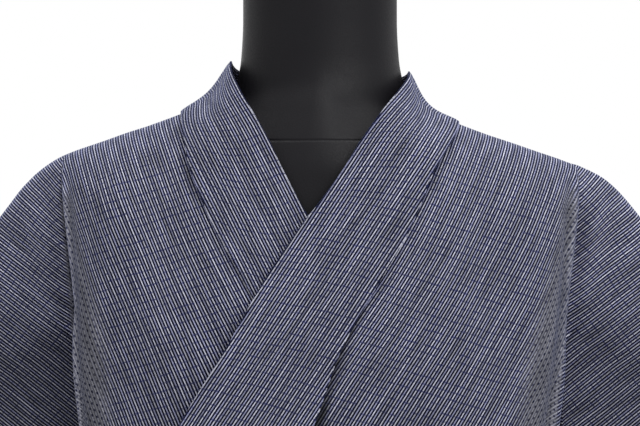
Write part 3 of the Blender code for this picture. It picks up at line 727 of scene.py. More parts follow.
def overlap_grid(side):
    """Rows of an overlap panel from its hem to its point under the collar."""
    rows = []
    for height in OVERLAP_HEIGHTS:
        start, end = (along + side * shift(height) for along in read(INNER, height))
        places = [mix(start, end, index / OVERLAP_COLUMNS) for index in range(OVERLAP_COLUMNS + 1)]
        rows.append([mirrored(layer_point(side, height, along), side) for along in places])
    return rows


# The collar: how it stands up beside the neck, and its edges behind
COLLAR_HALF = 0.106
COLLAR_RISE = 1.12
COLLAR_RISE_INNER = 0.40
COLLAR_RISE_REACH = 0.060
COLLAR_STAND = 0.041
COLLAR_EDGE = (0.0700, 0.0780)
COLLAR_EDGE_BACK = 1.4020
COLLAR_SEAM_DROP = 0.006
COLLAR_BOW = 0.003
STAND_RANGE = (1.300, 1.373)
COLLAR_DROP_RANGE = (1.320, 1.373)
NECK_EDGE_RANGE = (1.330, 1.378)


def collar_point(side, height_seam, share):
    """A point of the collar on the chest, its share measured from its outer to its free edge."""
    seam, edge = read(BAND, height_seam)
    height = height_seam + COLLAR_STAND * ramp(height_seam, *STAND_RANGE) * share
    if side == LEFT:
        height -= SHOULDER_DROP * ramp(height_seam, *COLLAR_DROP_RANGE)
    neck_edge = mix(edge, COLLAR_EDGE[0], ramp(height_seam, *NECK_EDGE_RANGE))
    along = mix(seam, neck_edge, share) + side * shift(height_seam)
    if height <= ARMPIT:
        return layer_point(side, height, along)
    ridge = shoulder_height(side, COLLAR_HALF) + COLLAR_RISE * max(COLLAR_HALF - along, 0.0)
    ridge += COLLAR_RISE_INNER * max(COLLAR_RISE_REACH - along, 0.0)
    return chest_surface(side, along, height, ridge)


def collar_grid():
    """Rows of the collar from the over front's end round the neck to the under front's end."""
    shares = [index / COLLAR_COLUMNS for index in range(COLLAR_COLUMNS + 1)]
    over, under = ([[mirrored(collar_point(side, height, share), side) for share in shares]
                    for height in COLLAR_HEIGHTS] for side in (LEFT, RIGHT))
    low_z = shoulder_height(LEFT, COLLAR_HALF) - NECK_DROP - COLLAR_SEAM_DROP
    edge_x, edge_y = COLLAR_EDGE
    behind = []
    for index in range(COLLAR_NECK_ROWS + 1):
        angle = math.pi * index / COLLAR_NECK_ROWS
        cos, sin = math.cos(angle), math.sin(angle)
        side = LEFT if index * 2 < COLLAR_NECK_ROWS else RIGHT
        top_z = shoulder_height(side, COLLAR_HALF)
        x = COLLAR_HALF * abs(cos)
        seam_z = mix(low_z, top_z, 1.0 - sin)
        seam_y = quarter_depth(BACK, x, seam_z) * shoulder_roll(side, x, seam_z)
        seam = Vector((COLLAR_HALF * cos, seam_y, seam_z))
        edge = Vector((edge_x * cos, edge_y * sin, mix(COLLAR_EDGE_BACK, top_z + COLLAR_STAND, 1.0 - sin)))
        bow = Vector((cos, sin, 0.3)) * COLLAR_BOW
        behind.append([seam.lerp(edge, share) + bow * math.sin(math.pi * share) for share in shares])
    grid = over + behind + under[::-1]
    return pushed(grid, normals_of(grid), lambda point: -LAYER)


def pushed(grid, normals, distance):
    """A grid with each point moved along its normal by what a function gives for it."""
    return [[point + normal * distance(point) for point, normal in zip(row, directions)]
            for row, directions in zip(grid, normals)]


SASH_CLEAR = 0.0013
SASH_LAP_LIFT = 0.0010
SASH_TURNS = 1.12
SASH_LAP_RANGE = (SASH_TURNS - 0.16, SASH_TURNS - 0.12)
SASH_FRONT_RANGE = (0.300, 0.220)


def sash_grid():
    """Rows of the sash, which laps over its own end behind."""
    rows = []
    clear = (WALL + SASH_WALL) / 2 + SASH_CLEAR
    for index in range(SASH_ROWS + 1):
        height = mix(SASH_BOTTOM, SASH_TOP, index / SASH_ROWS)
        whole = 2.0 * half_round(height)
        row = []
        for step in range(SASH_COLUMNS + 1):
            turn = SASH_TURNS * step / SASH_COLUMNS
            along = whole * (turn - SASH_TURNS / 2)
            if abs(along) > whole / 2:
                along -= math.copysign(whole, along)
            lift = clear + ramp(abs(along), *SASH_FRONT_RANGE) * (OVER_LIFT + LAYER)
            lift += ramp(turn, *SASH_LAP_RANGE) * (SASH_WALL + SASH_LAP_LIFT)
            row.append(lifted_point(height, along, lift))
        rows.append(row)
    return rows


# The dress form's shoulders
FORM_COUNT = 96
FORM_DROP_RANGE = (1.250, 1.310)
FORM_DROP_TOP_RANGE = (1.400, 1.380)
FORM_DROP_SIDE_RANGE = (0.0, 0.4)
CHEST_START = 1.240
CHEST_RANGE = (CHEST_START, 1.30)
FORM_FULLER = 0.35
FORM_MARGIN = 0.004
THROAT_POWER = 6


def shoulder_reach(height):
    """How far out the form's shoulder line is as high as this."""
    low, high = 0.0, 0.280
    for _ in range(30):
        middle = (low + high) / 2
        if read(RIDGE, middle)[0] - FORM_CLEAR > height:
            low = middle
        else:
            high = middle
    return low


def form_ring(height):
    """One ring of the dress form, lower on the wearer's left shoulder."""
    ring = []
    for index in range(FORM_COUNT):
        angle = math.tau * index / FORM_COUNT
        cos = math.cos(angle)
        drop = 0.0
        if cos > 0.0:
            drop = SHOULDER_DROP * ramp(height, *FORM_DROP_RANGE) * ramp(height, *FORM_DROP_TOP_RANGE)
        placed = height + drop * ramp(abs(cos), *FORM_DROP_SIDE_RANGE)
        neck, widest, inset = read(FORM, placed)
        half_width = max(min(shoulder_reach(placed), widest), neck)
        x = half_width * cos
        face = BACK if math.sin(angle) >= 0.0 else FRONT
        y = form_depth(face, abs(x), placed, half_width, neck, inset)
        if index in (0, FORM_COUNT // 2):
            y = 0.0
        ring.append(Vector((x, y * face, height)))
    return ring


def form_depth(face, x, height, half_width, neck, inset):
    """Half depth of the form at a distance from its middle plane."""
    throat = NECK_DEPTH * neck / NECK_WIDTH * math.sqrt(max(1.0 - (x / neck) ** 2, 0.0))
    _, front, back = read(TUBE, height)
    full = (front if face == FRONT else back) - inset
    share = x / (half_width + FORM_MARGIN)
    rounding = max(1.0 - share ** SECTION_POWER, 0.0) ** (1.0 / SECTION_POWER)
    chest = full * rounding
    if height > CHEST_START:
        upper = ramp(height, *CHEST_RANGE)
        ridge, roll = read(RIDGE, x)
        chest = full * mix(rounding, 1.0, upper * FORM_FULLER)
        cloth = quarter_depth(face, x * FORM_ROUNDER, height)
        clear = FORM_CLEAR
        if face == BACK:
            chest *= mix(1.0, BACK_SLACK, upper)
            clear += BACK_DROP
        chest = min(chest, cloth - inset) * rolled((ridge - clear - height) / roll)
    return (chest ** THROAT_POWER + throat ** THROAT_POWER) ** (1.0 / THROAT_POWER)


# Soft troughs and ridges in the cloth, placed on the front or the back as seen from there
FOLDS = table(
    "face x1 z1 x2 z2 width height",
    (FRONT, -0.150, 1.350, -0.172, 1.180, 0.016, 0.0022),
    (FRONT, -0.120, 1.335, -0.140, 1.150, 0.020, -0.0018),
    (FRONT, -0.105, 1.300, -0.075, 1.130, 0.018, 0.0016),
    (FRONT, 0.150, 1.340, 0.168, 1.170, 0.018, 0.0020),
    (FRONT, 0.118, 1.320, 0.132, 1.120, 0.022, -0.0018),
    (FRONT, 0.215, 1.318, 0.203, 1.262, 0.007, 0.0022),
    (FRONT, 0.238, 1.300, 0.214, 1.250, 0.010, -0.0016),
    (FRONT, -0.226, 1.312, -0.206, 1.262, 0.009, 0.0018),
    (FRONT, -0.250, 1.285, -0.222, 1.250, 0.010, -0.0014),
    (FRONT, -0.090, 1.130, -0.060, 1.060, 0.016, 0.0014),
    (FRONT, 0.090, 1.120, 0.062, 1.055, 0.018, 0.0016),
    (FRONT, 0.060, 0.935, 0.085, 0.640, 0.020, 0.0030),
    (FRONT, 0.105, 0.930, 0.120, 0.480, 0.024, -0.0030),
    (FRONT, -0.050, 0.935, -0.085, 0.520, 0.022, 0.0026),
    (FRONT, 0.010, 0.930, 0.020, 0.300, 0.026, -0.0022),
    (FRONT, -0.125, 0.920, -0.140, 0.350, 0.022, -0.0026),
    (BACK, -0.140, 1.330, -0.155, 1.120, 0.020, 0.0024),
    (BACK, 0.145, 1.325, 0.150, 1.140, 0.018, 0.0020),
    (BACK, -0.070, 1.310, -0.060, 1.070, 0.026, -0.0018),
    (BACK, 0.075, 1.290, 0.050, 1.070, 0.024, 0.0018),
    (BACK, -0.095, 1.120, -0.065, 1.055, 0.014, 0.0022),
    (BACK, 0.100, 1.115, 0.075, 1.055, 0.014, 0.0020),
    (BACK, -0.060, 0.935, -0.080, 0.500, 0.024, 0.0030),
    (BACK, 0.070, 0.935, 0.095, 0.420, 0.024, 0.0030),
    (BACK, 0.005, 0.930, 0.010, 0.450, 0.026, -0.0026),
)
FOLD_START_RANGE = (-0.3, 0.2)
FOLD_END_RANGE = (1.3, 0.8)
FOLD_REACH = 2.5

# The line of the crease seen from the front, and the small ridge and groove that run along it
CREASE_LINES = {
    RIGHT: table("height out", (1.050, 0.1790), (1.150, 0.1868), (1.229, 0.1918), (1.275, 0.1950),
                 (1.330, 0.1985)),
    LEFT: table("height out", (1.050, 0.1720), (1.138, 0.1775), (1.213, 0.1880), (1.313, 0.1955),
                (1.340, 0.1980)),
}
CREASE_RANGE = (1.060, 1.110)
CREASE_TOP_RANGE = (1.345, 1.305)
CREASE_REACH = 0.03
RIDGE_HEIGHT = 0.0024
RIDGE_WIDTH = 0.0034
RIDGE_OUT = 0.0022
GROOVE_DEPTH = 0.0026
GROOVE_WIDTH = 0.0042
GROOVE_IN = 0.0058


def crease_offset(point):
    """How far outside the crease line a point of the front is, and how much of the crease is there."""
    line_out = read(CREASE_LINES[side_of(point)], point.z)[0]
    return abs(point.x) - line_out, ramp(point.z, *CREASE_RANGE) * ramp(point.z, *CREASE_TOP_RANGE)


def crease_relief(point):
    """Height of the ridge and the groove beside the crease at a point."""
    offset, part = crease_offset(point)
    if abs(offset) > CREASE_REACH or part <= 0.0:
        return 0.0
    ridge = RIDGE_HEIGHT * bell(offset, RIDGE_OUT, RIDGE_WIDTH)
    return part * (ridge - GROOVE_DEPTH * bell(offset, -GROOVE_IN, GROOVE_WIDTH))


def fold_depth(point):
    """How far the folds push the cloth out at a point."""
    face = FRONT if point.y < 0.0 else BACK
    total = 0.0
    for fold in FOLDS:
        if fold.face != face:
            continue
        along_x = fold.x2 - fold.x1
        along_z = fold.z2 - fold.z1
        length = math.hypot(along_x, along_z)
        share = ((point.x - fold.x1) * along_x + (point.z - fold.z1) * along_z) / length ** 2
        aside = ((point.x - fold.x1) * along_z - (point.z - fold.z1) * along_x) / length / fold.width
        if abs(aside) <= FOLD_REACH and FOLD_START_RANGE[0] < share < FOLD_END_RANGE[0]:
            fade = ramp(share, *FOLD_START_RANGE) * ramp(share, *FOLD_END_RANGE)
            total += fold.height * fade * math.exp(-aside * aside)
    return total + (crease_relief(point) if face == FRONT else 0.0)


# The painted highlight along the crease: how much lighter, where and how wide
CREASE_PAINTED_HIGHLIGHT = {LEFT: (0.60, -0.0010, 0.0018), RIGHT: (1.50, -0.0034, 0.0027)}
# Painted shade in the crease's valley: how dark, where and how wide
DEEP_SHADE = 0.16
DEEP_PLACE = (-0.0070, 0.0040)
# The imported cloth inside the crease, a packed band with dark dots whose gaps and ribs are painted lighter
# as if lit: its reach low and high, and where it fades
PACKED_LIT_REACH = (0.038, 0.017)
PACKED_LIT_REACH_RANGE = (1.190, 1.300)
PACKED_LIT_EDGE_RANGE = (0.0030, 0.0)
PACKED_LIT_TOP_RANGE = (1.330, 1.300)
PACKED_LIT_SHARE = 0.90
# Painted shade: the front darker toward the bottom, fading out again lower down
LOWER_SHADE = 0.11
LOWER_RANGE = (1.240, 1.150)
LOWER_END_RANGE = (1.020, 1.070)


def crease_shade(point):
    """How light the cloth is by the crease, with a painted highlight along it and painted shade where it
    lies deep and lower down, and how packed it is, the packed band painted lighter as if lit.
    """
    if point.y > 0.0:
        return 1.0, 0.0
    offset, part = crease_offset(point)
    # Painted highlight along the crease's edge, stronger on the wearer's right
    amount, centre, width = CREASE_PAINTED_HIGHLIGHT[side_of(point)]
    lit = amount * bell(offset, centre, width)
    # Painted shade where the cloth lies deep in the crease
    deep = DEEP_SHADE * bell(offset, *DEEP_PLACE)
    reach = mix(*PACKED_LIT_REACH, ramp(point.z, *PACKED_LIT_REACH_RANGE))
    inside = ramp(offset, -reach, -0.5 * reach) * ramp(offset, *PACKED_LIT_EDGE_RANGE)
    # The packed band: dense cloth with dark dots, its gaps painted lighter as if lit
    packed_lit = PACKED_LIT_SHARE * part * inside * ramp(point.z, *PACKED_LIT_TOP_RANGE)
    # Painted shade toward the bottom of the front
    lower = LOWER_SHADE * ramp(point.z, *LOWER_RANGE) * ramp(point.z, *LOWER_END_RANGE)
    return (1.0 + part * (lit - deep)) * (1.0 - lower), packed_lit


# The painted shade in the narrow fold beside the over collar: where it starts and its width
COLLAR_SLOT = table(
    "height start width",
    (1.045, -0.0150, 0.0085),
    (1.138, -0.0046, 0.0080),
    (1.163, 0.0015, 0.0050),
    (1.194, 0.0146, 0.0026),
    (1.236, 0.0345, 0.0010),
)
SLOT_HEIGHTS = (1.050, 1.236)
SLOT_RANGE = (1.240, 1.210)
SLOT_SHADE = 0.88
SLOT_EDGE = 0.0010


def over_shade(point):
    """The over front's painted light and shade: that of the crease, and painted shade dark in the narrow
    fold beside the over collar.
    """
    light, packed_lit = crease_shade(point)
    low, high = SLOT_HEIGHTS
    if point.y <= 0.0 and low <= point.z <= high:
        start, width = read(COLLAR_SLOT, point.z)
        inside = 1.0 - ramp(point.x, start + width * 0.75, start + width * 1.25 + SLOT_EDGE)
        # Painted shade in the narrow fold beside the over collar
        light *= 1.0 - SLOT_SHADE * inside * ramp(point.z, *SLOT_RANGE)
    return light, packed_lit


# Painted shade on the sleeves, at their top and lower down, darker on the wearer's right
SLEEVE_TOP_PAINTED_SHADE = {LEFT: 0.99, RIGHT: 0.87}
SLEEVE_PAINTED_SHADE = {LEFT: 0.61, RIGHT: 0.44}
SLEEVE_PAINTED_SHADE_RANGE = (1.240, 1.180)
SLEEVE_LOW_RANGE = (1.100, 0.950)
SLEEVE_LOW_SHARE = 0.6


def sleeve_shade(point):
    """Painted shade: the sleeve is a little darker than the shoulder cap, most of all under its seam."""
    side = side_of(point)
    low = ramp(point.z, *SLEEVE_PAINTED_SHADE_RANGE) * (1.0 - SLEEVE_LOW_SHARE * ramp(point.z, *SLEEVE_LOW_RANGE))
    return mix(SLEEVE_TOP_PAINTED_SHADE[side], SLEEVE_PAINTED_SHADE[side], low), 0.0


# How the grain runs on the chest: its lean and how the ribs spread
CHEST_LEAN = {LEFT: (0.44, 0.55), RIGHT: (0.41, 0.39)}
BACK_LEAN = (0.12, 0.16)
LEAN_TOP = 1.36
LEAN_FULL = 1.18
LEAN_END = 1.02
LEAN_FADE = 0.10
FAN_EDGE = 0.130
FAN_TURN = 0.060
FAN_TURN_SHARE = 1.1
FAN_ANCHOR = 0.138
FAN_SHARE = 0.13
FAN_RANGE = (1.330, 1.170)
WEFT_LEAN = 0.30
WEFT_START = 1.40
WEFT_MIDDLE = 0.10
TURNED_SHARE = 0.22
CHEST_FINER = (0.94, 0.95)
ROLL_DEPTH = 0.075
ROLL_SHARE = 0.8
# How it falls on the shoulder cap, above CAP_END, and on the sleeve
CAP_END = 1.010
CAP_ACROSS = 0.600
CAP_DOWN = 0.800
CAP_FINER = (1.01, 1.10)
CAP_EDGE = 0.228
CAP_MIDDLE = (0.28, 1.40)
CAP_STEEPER = 4.0
CAP_STEEPER_ROWS = 5.0
CAP_STEEPER_RANGE = (1.210, 1.300)
CAP_DEPTH_SHARE = 0.5
HANG_RANGE = (1.120, 0.720)
HANG_ACROSS = 0.93
HANG_DOWN = 0.31


def points_of(grid):
    return np.array([[tuple(point) for point in row] for row in grid])


def running(steps, axis, start):
    """Running sums of steps along an axis, counted from a place on it."""
    total = np.concatenate((np.zeros_like(steps.take([0], axis)), np.cumsum(steps, axis=axis)), axis=axis)
    return total - total.take([start], axis)


def running_lengths(grid, start_column):
    """Distances along the columns from the first row, and along the rows from one column."""
    points = points_of(grid)
    down, across = (np.linalg.norm(np.diff(points, axis=axis), axis=2) for axis in (0, 1))
    return running(down, 0, 0), running(across, 1, start_column)


def projected_lengths(grid):
    """Distances along the rows, in which chest cloth that turns to the side counts for less."""
    steps = np.diff(points_of(grid), axis=1)
    share = np.ones(steps.shape[:2])
    for i, row in enumerate(grid[:RIDGE_ROW + 1]):
        share[i] = [mix(1.0, TURNED_SHARE, ramp(point.z, CAP_END, CAP_END + 0.08)) for point in row[1:]]
    return running(np.hypot(steps[:, :, 0], steps[:, :, 1] * share), 1, 0)


def chest_lean(height, lean):
    """How far the grain has moved out below a height; it leans most low on the chest, not at the sash."""
    top, low = lean
    upper = held_in((LEAN_TOP - height) / (LEAN_TOP - LEAN_FULL))
    shifted = (LEAN_TOP - LEAN_FULL) * (top * upper + (low - top) * upper ** 2 / 2.0)
    lower = min(max(LEAN_FULL - height, 0.0), LEAN_FULL - LEAN_END)
    faded = held_in((LEAN_END - height) / LEAN_FADE)
    above = top * min(LEAN_TOP - height, 0.0)
    return shifted + low * (lower + LEAN_FADE * (faded - faded ** 2 / 2.0)) + above


def over_ridge(front, v, ridge_v):
    """The length coordinate, which runs on over the shoulder from the front to the back."""
    return v if front else 2.0 * ridge_v - v


def grain_spread(out, height):
    """How far the ribs low on the chest stand apart toward the middle and together toward the crease."""
    turned = min(max(out - FAN_EDGE, 0.0), FAN_TURN)
    apart = min(out, FAN_EDGE) - FAN_ANCHOR + turned - FAN_TURN_SHARE * turned ** 2 / FAN_TURN
    return FAN_SHARE * apart * ramp(height, *FAN_RANGE) * ramp(height, CAP_END, CAP_END + 0.100)


def chest_v(point, top, out):
    """The length coordinate on the chest; cloth that lies flat on the shoulder adds its depth."""
    near = ramp(point.z, top - 0.055, top - 0.010)
    rolled_height = point.z + ROLL_SHARE * near * max(0.0, ROLL_DEPTH - abs(point.y))
    return WEFT_START - rolled_height - WEFT_LEAN * (out - WEFT_MIDDLE)


def panel_uv(grid, side):
    """Cloth coordinates of a body panel, one set for the chest and one for the shoulder cap."""
    across = projected_lengths(grid)
    ridge = grid[RIDGE_ROW]
    finer_u, finer_v = CHEST_FINER
    chest = []
    for index, row in enumerate(grid):
        front = index <= RIDGE_ROW
        lean = CHEST_LEAN[side] if front else BACK_LEAN
        line = []
        for point, length, top in zip(row, across[index], ridge):
            out = side * row[0].x + length
            spread = grain_spread(out, point.z) if front else 0.0
            u = (out - spread + chest_lean(point.z, lean)) * finer_u
            v = over_ridge(front, chest_v(point, top.z, out), chest_v(top, top.z, abs(top.x)))
            line.append((u, v * finer_v))
        chest.append(line)
    cap = cap_uv(grid, RIDGE_ROW)
    for index, row in enumerate(grid):
        for place, point in enumerate(row):
            if index > RIDGE_ROW or point.z <= CAP_END:
                cap[index][place] = chest[index][place]
    return chest, cap


def cap_uv(grid, ridge_row):
    """Cloth coordinates out on the shoulder cap and the sleeve, where the grain falls inward."""
    rows = []
    for index, row in enumerate(grid):
        line = []
        for point, ridge in zip(row, grid[ridge_row]):
            u, v = cap_place(abs(point.x), point.z)
            ridge_v = cap_place(abs(ridge.x), ridge.z)[1]
            line.append((u, over_ridge(index <= ridge_row, v + CAP_DEPTH_SHARE * abs(point.y), ridge_v)))
        rows.append(line)
    return rows


def cap_place(out, height):
    """Cloth coordinates at a place outside the crease, seen from the front."""
    hang = ramp(height, *HANG_RANGE)
    steeper = ramp(height, *CAP_STEEPER_RANGE) * max(CAP_EDGE - out, 0.0) ** 2
    lower = max(HANG_RANGE[0] - height, 0.0)
    out -= CAP_MIDDLE[0]
    down = CAP_MIDDLE[1] - height
    u = out * mix(CAP_ACROSS, HANG_ACROSS, hang) - CAP_STEEPER * steeper
    u += CAP_DOWN * down - HANG_DOWN * lower * hang
    v = CAP_ACROSS * down - CAP_DOWN * out - CAP_STEEPER_ROWS * steeper
    return u * CAP_FINER[0], v * CAP_FINER[1]


def plain_uv(grid, turned=False):
    """Cloth coordinates along a piece's own rows and columns."""
    down, across = running_lengths(grid, 0)
    return np.dstack((across, down) if turned else (down, across)).tolist()


def linked(name, data):
    """A new object in the scene."""
    made = bpy.data.objects.new(name, data)
    bpy.context.scene.collection.objects.link(made)
    return made


def mesh_piece(name, points, faces, finish, layers=None):
    """A smooth mesh object with its finish and, for each named layer, a pair of numbers a corner."""
    mesh = bpy.data.meshes.new(name)
    mesh.from_pydata(points, [], faces)
    for layer, pairs in (layers or {}).items():
        mesh.uv_layers.new(name=layer).data.foreach_set("uv", np.array(pairs, dtype=np.float32).ravel())
    mesh.materials.append(finish)
    mesh.validate()
    mesh.shade_smooth()
    return linked(name, mesh)


RIM_SHARE = 0.35
RIM_MOST = 0.0006


def rim_cells(rows, columns):
    """Row and column of each point on a grid's rim, once round."""
    rim = [(0, k) for k in range(columns)] + [(i, columns - 1) for i in range(1, rows)]
    rim += [(rows - 1, k) for k in range(columns - 2, -1, -1)]
    return rim + [(i, 0) for i in range(rows - 2, 0, -1)]


def rim_point(middle, out, i, k, outer, inner):
    """The middle of the rounded edge outside a point of the rim."""
    last_i, last_k = middle.shape[0] - 1, middle.shape[1] - 1
    away = np.zeros(3)
    for at_edge, neighbour in ((i == 0, (i + 1, k)), (i == last_i, (i - 1, k)),
                               (k == 0, (i, k + 1)), (k == last_k, (i, k - 1))):
        if at_edge:
            step = middle[i, k] - middle[neighbour]
            away += step / max(np.linalg.norm(step), 1e-9)
    away -= out[i, k] * away.dot(out[i, k])
    away /= max(np.linalg.norm(away), 1e-9)
    centre = middle[i, k] + out[i, k] * (outer - inner) / 2
    return centre + away * min((outer + inner) * RIM_SHARE, RIM_MOST)


def cloth_mesh(name, grid, normals, uv, finish, outer=WALL / 2, inner=WALL / 2, turned=False,
               uv_beyond=None, beyond=math.inf, shade=None):
    """A thin closed shell with rounded edges round a grid of middle points."""
    rows = len(grid)
    columns = len(grid[0])
    count = rows * columns
    middle = points_of(grid)
    out = points_of(normals)
    rim = rim_cells(rows, columns)
    walls = [(middle + out * distance).reshape(-1, 3) for distance in (outer, -inner)]
    points = np.concatenate(walls + [[rim_point(middle, out, i, k, outer, inner) for i, k in rim]])
    shades = [shade(point) if shade else (1.0, 0.0) for row in grid for point in row]
    shades = shades + shades + [shades[i * columns + k] for i, k in rim]

    def corner(cell_column, i, k, first=0):
        """A corner's vertex and cloth coordinates, for a cell of the grid."""
        return first + i * columns + k, (uv_beyond if cell_column >= beyond else uv)[i][k]

    faces = []
    for i in range(rows - 1):
        for k in range(columns - 1):
            cell = ((i, k), (i, k + 1), (i + 1, k + 1), (i + 1, k))
            faces.append([corner(k, *place) for place in cell])
            faces.append([corner(k, *place, first=count) for place in reversed(cell)])
    for index, here in enumerate(rim):
        after = (index + 1) % len(rim)
        cell = min(here[1], rim[after][1])
        near, far = corner(cell, *here), corner(cell, *rim[after])
        near_rim, far_rim = (2 * count + index, near[1]), (2 * count + after, far[1])
        faces.append([near_rim, far_rim, far, near])
        faces.append([far_rim, near_rim, corner(cell, *here, first=count),
                      corner(cell, *rim[after], first=count)])
    if turned:
        faces = [face[::-1] for face in faces]
    layers = {"cloth": [pair for face in faces for _, pair in face],
              "shade": [shades[vertex] for face in faces for vertex, _ in face]}
    outlines = [[vertex for vertex, _ in face] for face in faces]
    return mesh_piece(name, points.tolist(), outlines, finish, layers)


def connect(tree, socket, value):
    """Link a wire to a socket, or set the socket's own value."""
    if isinstance(value, Wire):
        tree.links.new(value.socket, socket)
    else:
        socket.default_value = value


def node(tree, kind, inputs, output=0, **settings):
    """An output of a new node, whose inputs are given by place or name."""
    made = tree.nodes.new("ShaderNode" + kind)
    for name, value in settings.items():
        setattr(made, name, value)
    for place, value in inputs.items() if isinstance(inputs, dict) else enumerate(inputs):
        connect(tree, made.inputs[place], value)
    return Wire(tree, made.outputs[output])


class Wire:
    """A node's output, whose sums, products and the like make further nodes."""

    def __init__(self, tree, socket):
        self.tree = tree
        self.socket = socket

    def math(self, operation, *others):
        return node(self.tree, "Math", (self, *others), operation=operation)

    def __add__(self, other):
        return self.math("ADD", other)

    def __sub__(self, other):
        return self.math("SUBTRACT", other)

    def __mul__(self, other):
        return self.math("MULTIPLY", other)

    def __truediv__(self, other):
        return self.math("DIVIDE", other)

    def smooth(self, low, high, to_low=0.0, to_high=1.0):
        inputs = (self, low, high, to_low, to_high)
        return node(self.tree, "MapRange", inputs, interpolation_type="SMOOTHSTEP")

    def near(self, middle, low, high):
        """One up to a low distance from a middle value, and nought from a high one."""
        return (self - middle).math("ABSOLUTE").smooth(low, high, 1.0, 0.0)

    def parts(self):
        """The three parts of a place."""
        made = node(self.tree, "SeparateXYZ", (self,)).socket.node
        return [Wire(self.tree, output) for output in made.outputs]

    def noise(self, scale, detail):
        inputs = {"Vector": self, "Scale": scale, "Detail": detail}
        return node(self.tree, "TexNoise", inputs, "Fac")


def blend(share, first, second):
    """A colour by a share of the way from the first to the second."""
    return node(share.tree, "Mix", {0: share, 6: first, 7: second}, 2, data_type="RGBA")


def streaks(u, v, across, along, seed=0.0, detail=1.0):
    """Noise of one fineness across the ribs and another along them."""
    return node(u.tree, "CombineXYZ", (u * across, v * along, seed)).noise(1.0, detail)


class Finish:
    """A new material and its shader."""

    def __init__(self, name):
        self.material = bpy.data.materials.new(name)
        self.material.use_nodes = True
        self.tree = self.material.node_tree
        self.shader = self.tree.nodes["Principled BSDF"]

    def set(self, values):
        for name, value in values.items():
            connect(self.tree, self.shader.inputs[name], value)

    def uv(self, layer="cloth"):
        return node(self.tree, "UVMap", (), uv_map=layer).parts()[:2]

    def object_place(self):
        return node(self.tree, "TexCoord", (), "Object")

    def bump(self, height, distance, strength):
        inputs = {"Height": height, "Distance": distance, "Strength": strength}
        self.set({"Normal": node(self.tree, "Bump", inputs)})

    def sheen(self, weight, roughness, tint):
        self.set({"Sheen Weight": weight, "Sheen Roughness": roughness, "Sheen Tint": (*tint, 1.0)})


# The striped linen: rib spacing, weft bars and colours. UV_START keeps its places above nought
UV_START = 10.0
PAIR_PITCH = 0.00420
RIB_DRIFT = 0.0009
RIB_EDGE = (0.070, 0.118)
WEFT_BAR_PITCH = 0.0055
WEFT_EDGE = (0.085, 0.150)
WEFT_JOG = 0.0020
THREAD_PITCH = 0.00062
DOT_PITCH = 0.0052
DOT_COLUMN = 0.0036
DOT_STEP = 0.37
GAP_COLOUR = (0.0022, 0.0026, 0.0170, 1.0)
PALE_COLOUR = (0.332, 0.346, 0.512, 1.0)
BRIGHT_COLOUR = (0.585, 0.594, 0.700, 1.0)
WEFT_COLOUR = (0.013, 0.018, 0.098, 1.0)
# Colours of the packed band beside the crease, painted lighter grey as if lit at a grazing angle
PACKED_LIT_GAP = (0.124, 0.124, 0.145, 1.0)
PACKED_LIT_RIB = (0.232, 0.233, 0.264, 1.0)


def striped_linen(name, seed):
    """Open linen with pale and bright ribs over dark gaps, crossed by fine blue weft bars."""
    n = Finish(name)
    u, v = n.uv()
    # The shade layer carries painted light and shade: a brightness factor, and the share of the packed band
    # painted lighter as if lit
    light, turned = n.uv("shade")
    u = (streaks(u, v, 60.0, 14.0, seed, 2.0) - 0.5) * RIB_DRIFT + u
    phase = ((u + UV_START) / PAIR_PITCH).math("FRACT")
    pale, bright = (phase.near(middle, *RIB_EDGE) for middle in (0.25, 0.75))
    rib = pale.math("MAXIMUM", bright)
    slub = streaks(u, v, 420.0, 34.0, seed + 3.0, 3.0).smooth(0.28, 0.72, 0.62, 1.28)
    lane = streaks(u, v, 120.0, 3.0, seed + 9.0).smooth(0.30, 0.70, 0.88, 1.13)
    thread = (v * (math.tau / THREAD_PITCH)).math("SINE") * 0.5 + 0.5
    bars = (streaks(u, v, 90.0, 8.0, seed + 5.0) * WEFT_JOG + (v + UV_START)) / WEFT_BAR_PITCH
    second = bars.math("FLOOR").math("MODULO", 2.0) * 0.18 + 0.82
    broken = streaks(u, v, 260.0, 70.0, seed + 11.0).smooth(0.36, 0.58, 0.14, 1.0)
    bar = bars.math("FRACT").near(0.5, *WEFT_EDGE) * second * broken
    gap, grey, white = (blend(bar * share, colour, WEFT_COLOUR) for share, colour in (
        (0.52, GAP_COLOUR), (0.66, PALE_COLOUR), (0.72, BRIGHT_COLOUR)))
    column = (u + UV_START) / DOT_COLUMN
    row = column.math("FLOOR") * DOT_STEP + (v + UV_START) / DOT_PITCH
    dot = row.math("FRACT").near(0.5, 0.14, 0.24) * column.math("FRACT").near(0.5, 0.18, 0.30)
    # The packed band's colour: painted light on its gaps and ribs, with dark dots
    packed_lit = blend(dot, blend(rib, PACKED_LIT_GAP, PACKED_LIT_RIB), GAP_COLOUR)
    colour = blend(turned, blend(bright, blend(pale, gap, grey), white), packed_lit)
    light = slub * lane * (thread * 0.22 + 0.86) * light
    n.set({
        "Base Color": node(n.tree, "VectorMath", {0: colour, "Scale": light}, operation="SCALE"),
        "Roughness": rib.smooth(0.0, 1.0, 0.92, 0.74),
        "Specular IOR Level": 0.18,
    })
    n.sheen(0.18, 0.35, (0.35, 0.45, 1.0))
    n.bump(rib * (thread * 0.35 + 0.65) * slub, 0.00035, 0.8)
    return n.material


COTTON_PITCH = 0.0011


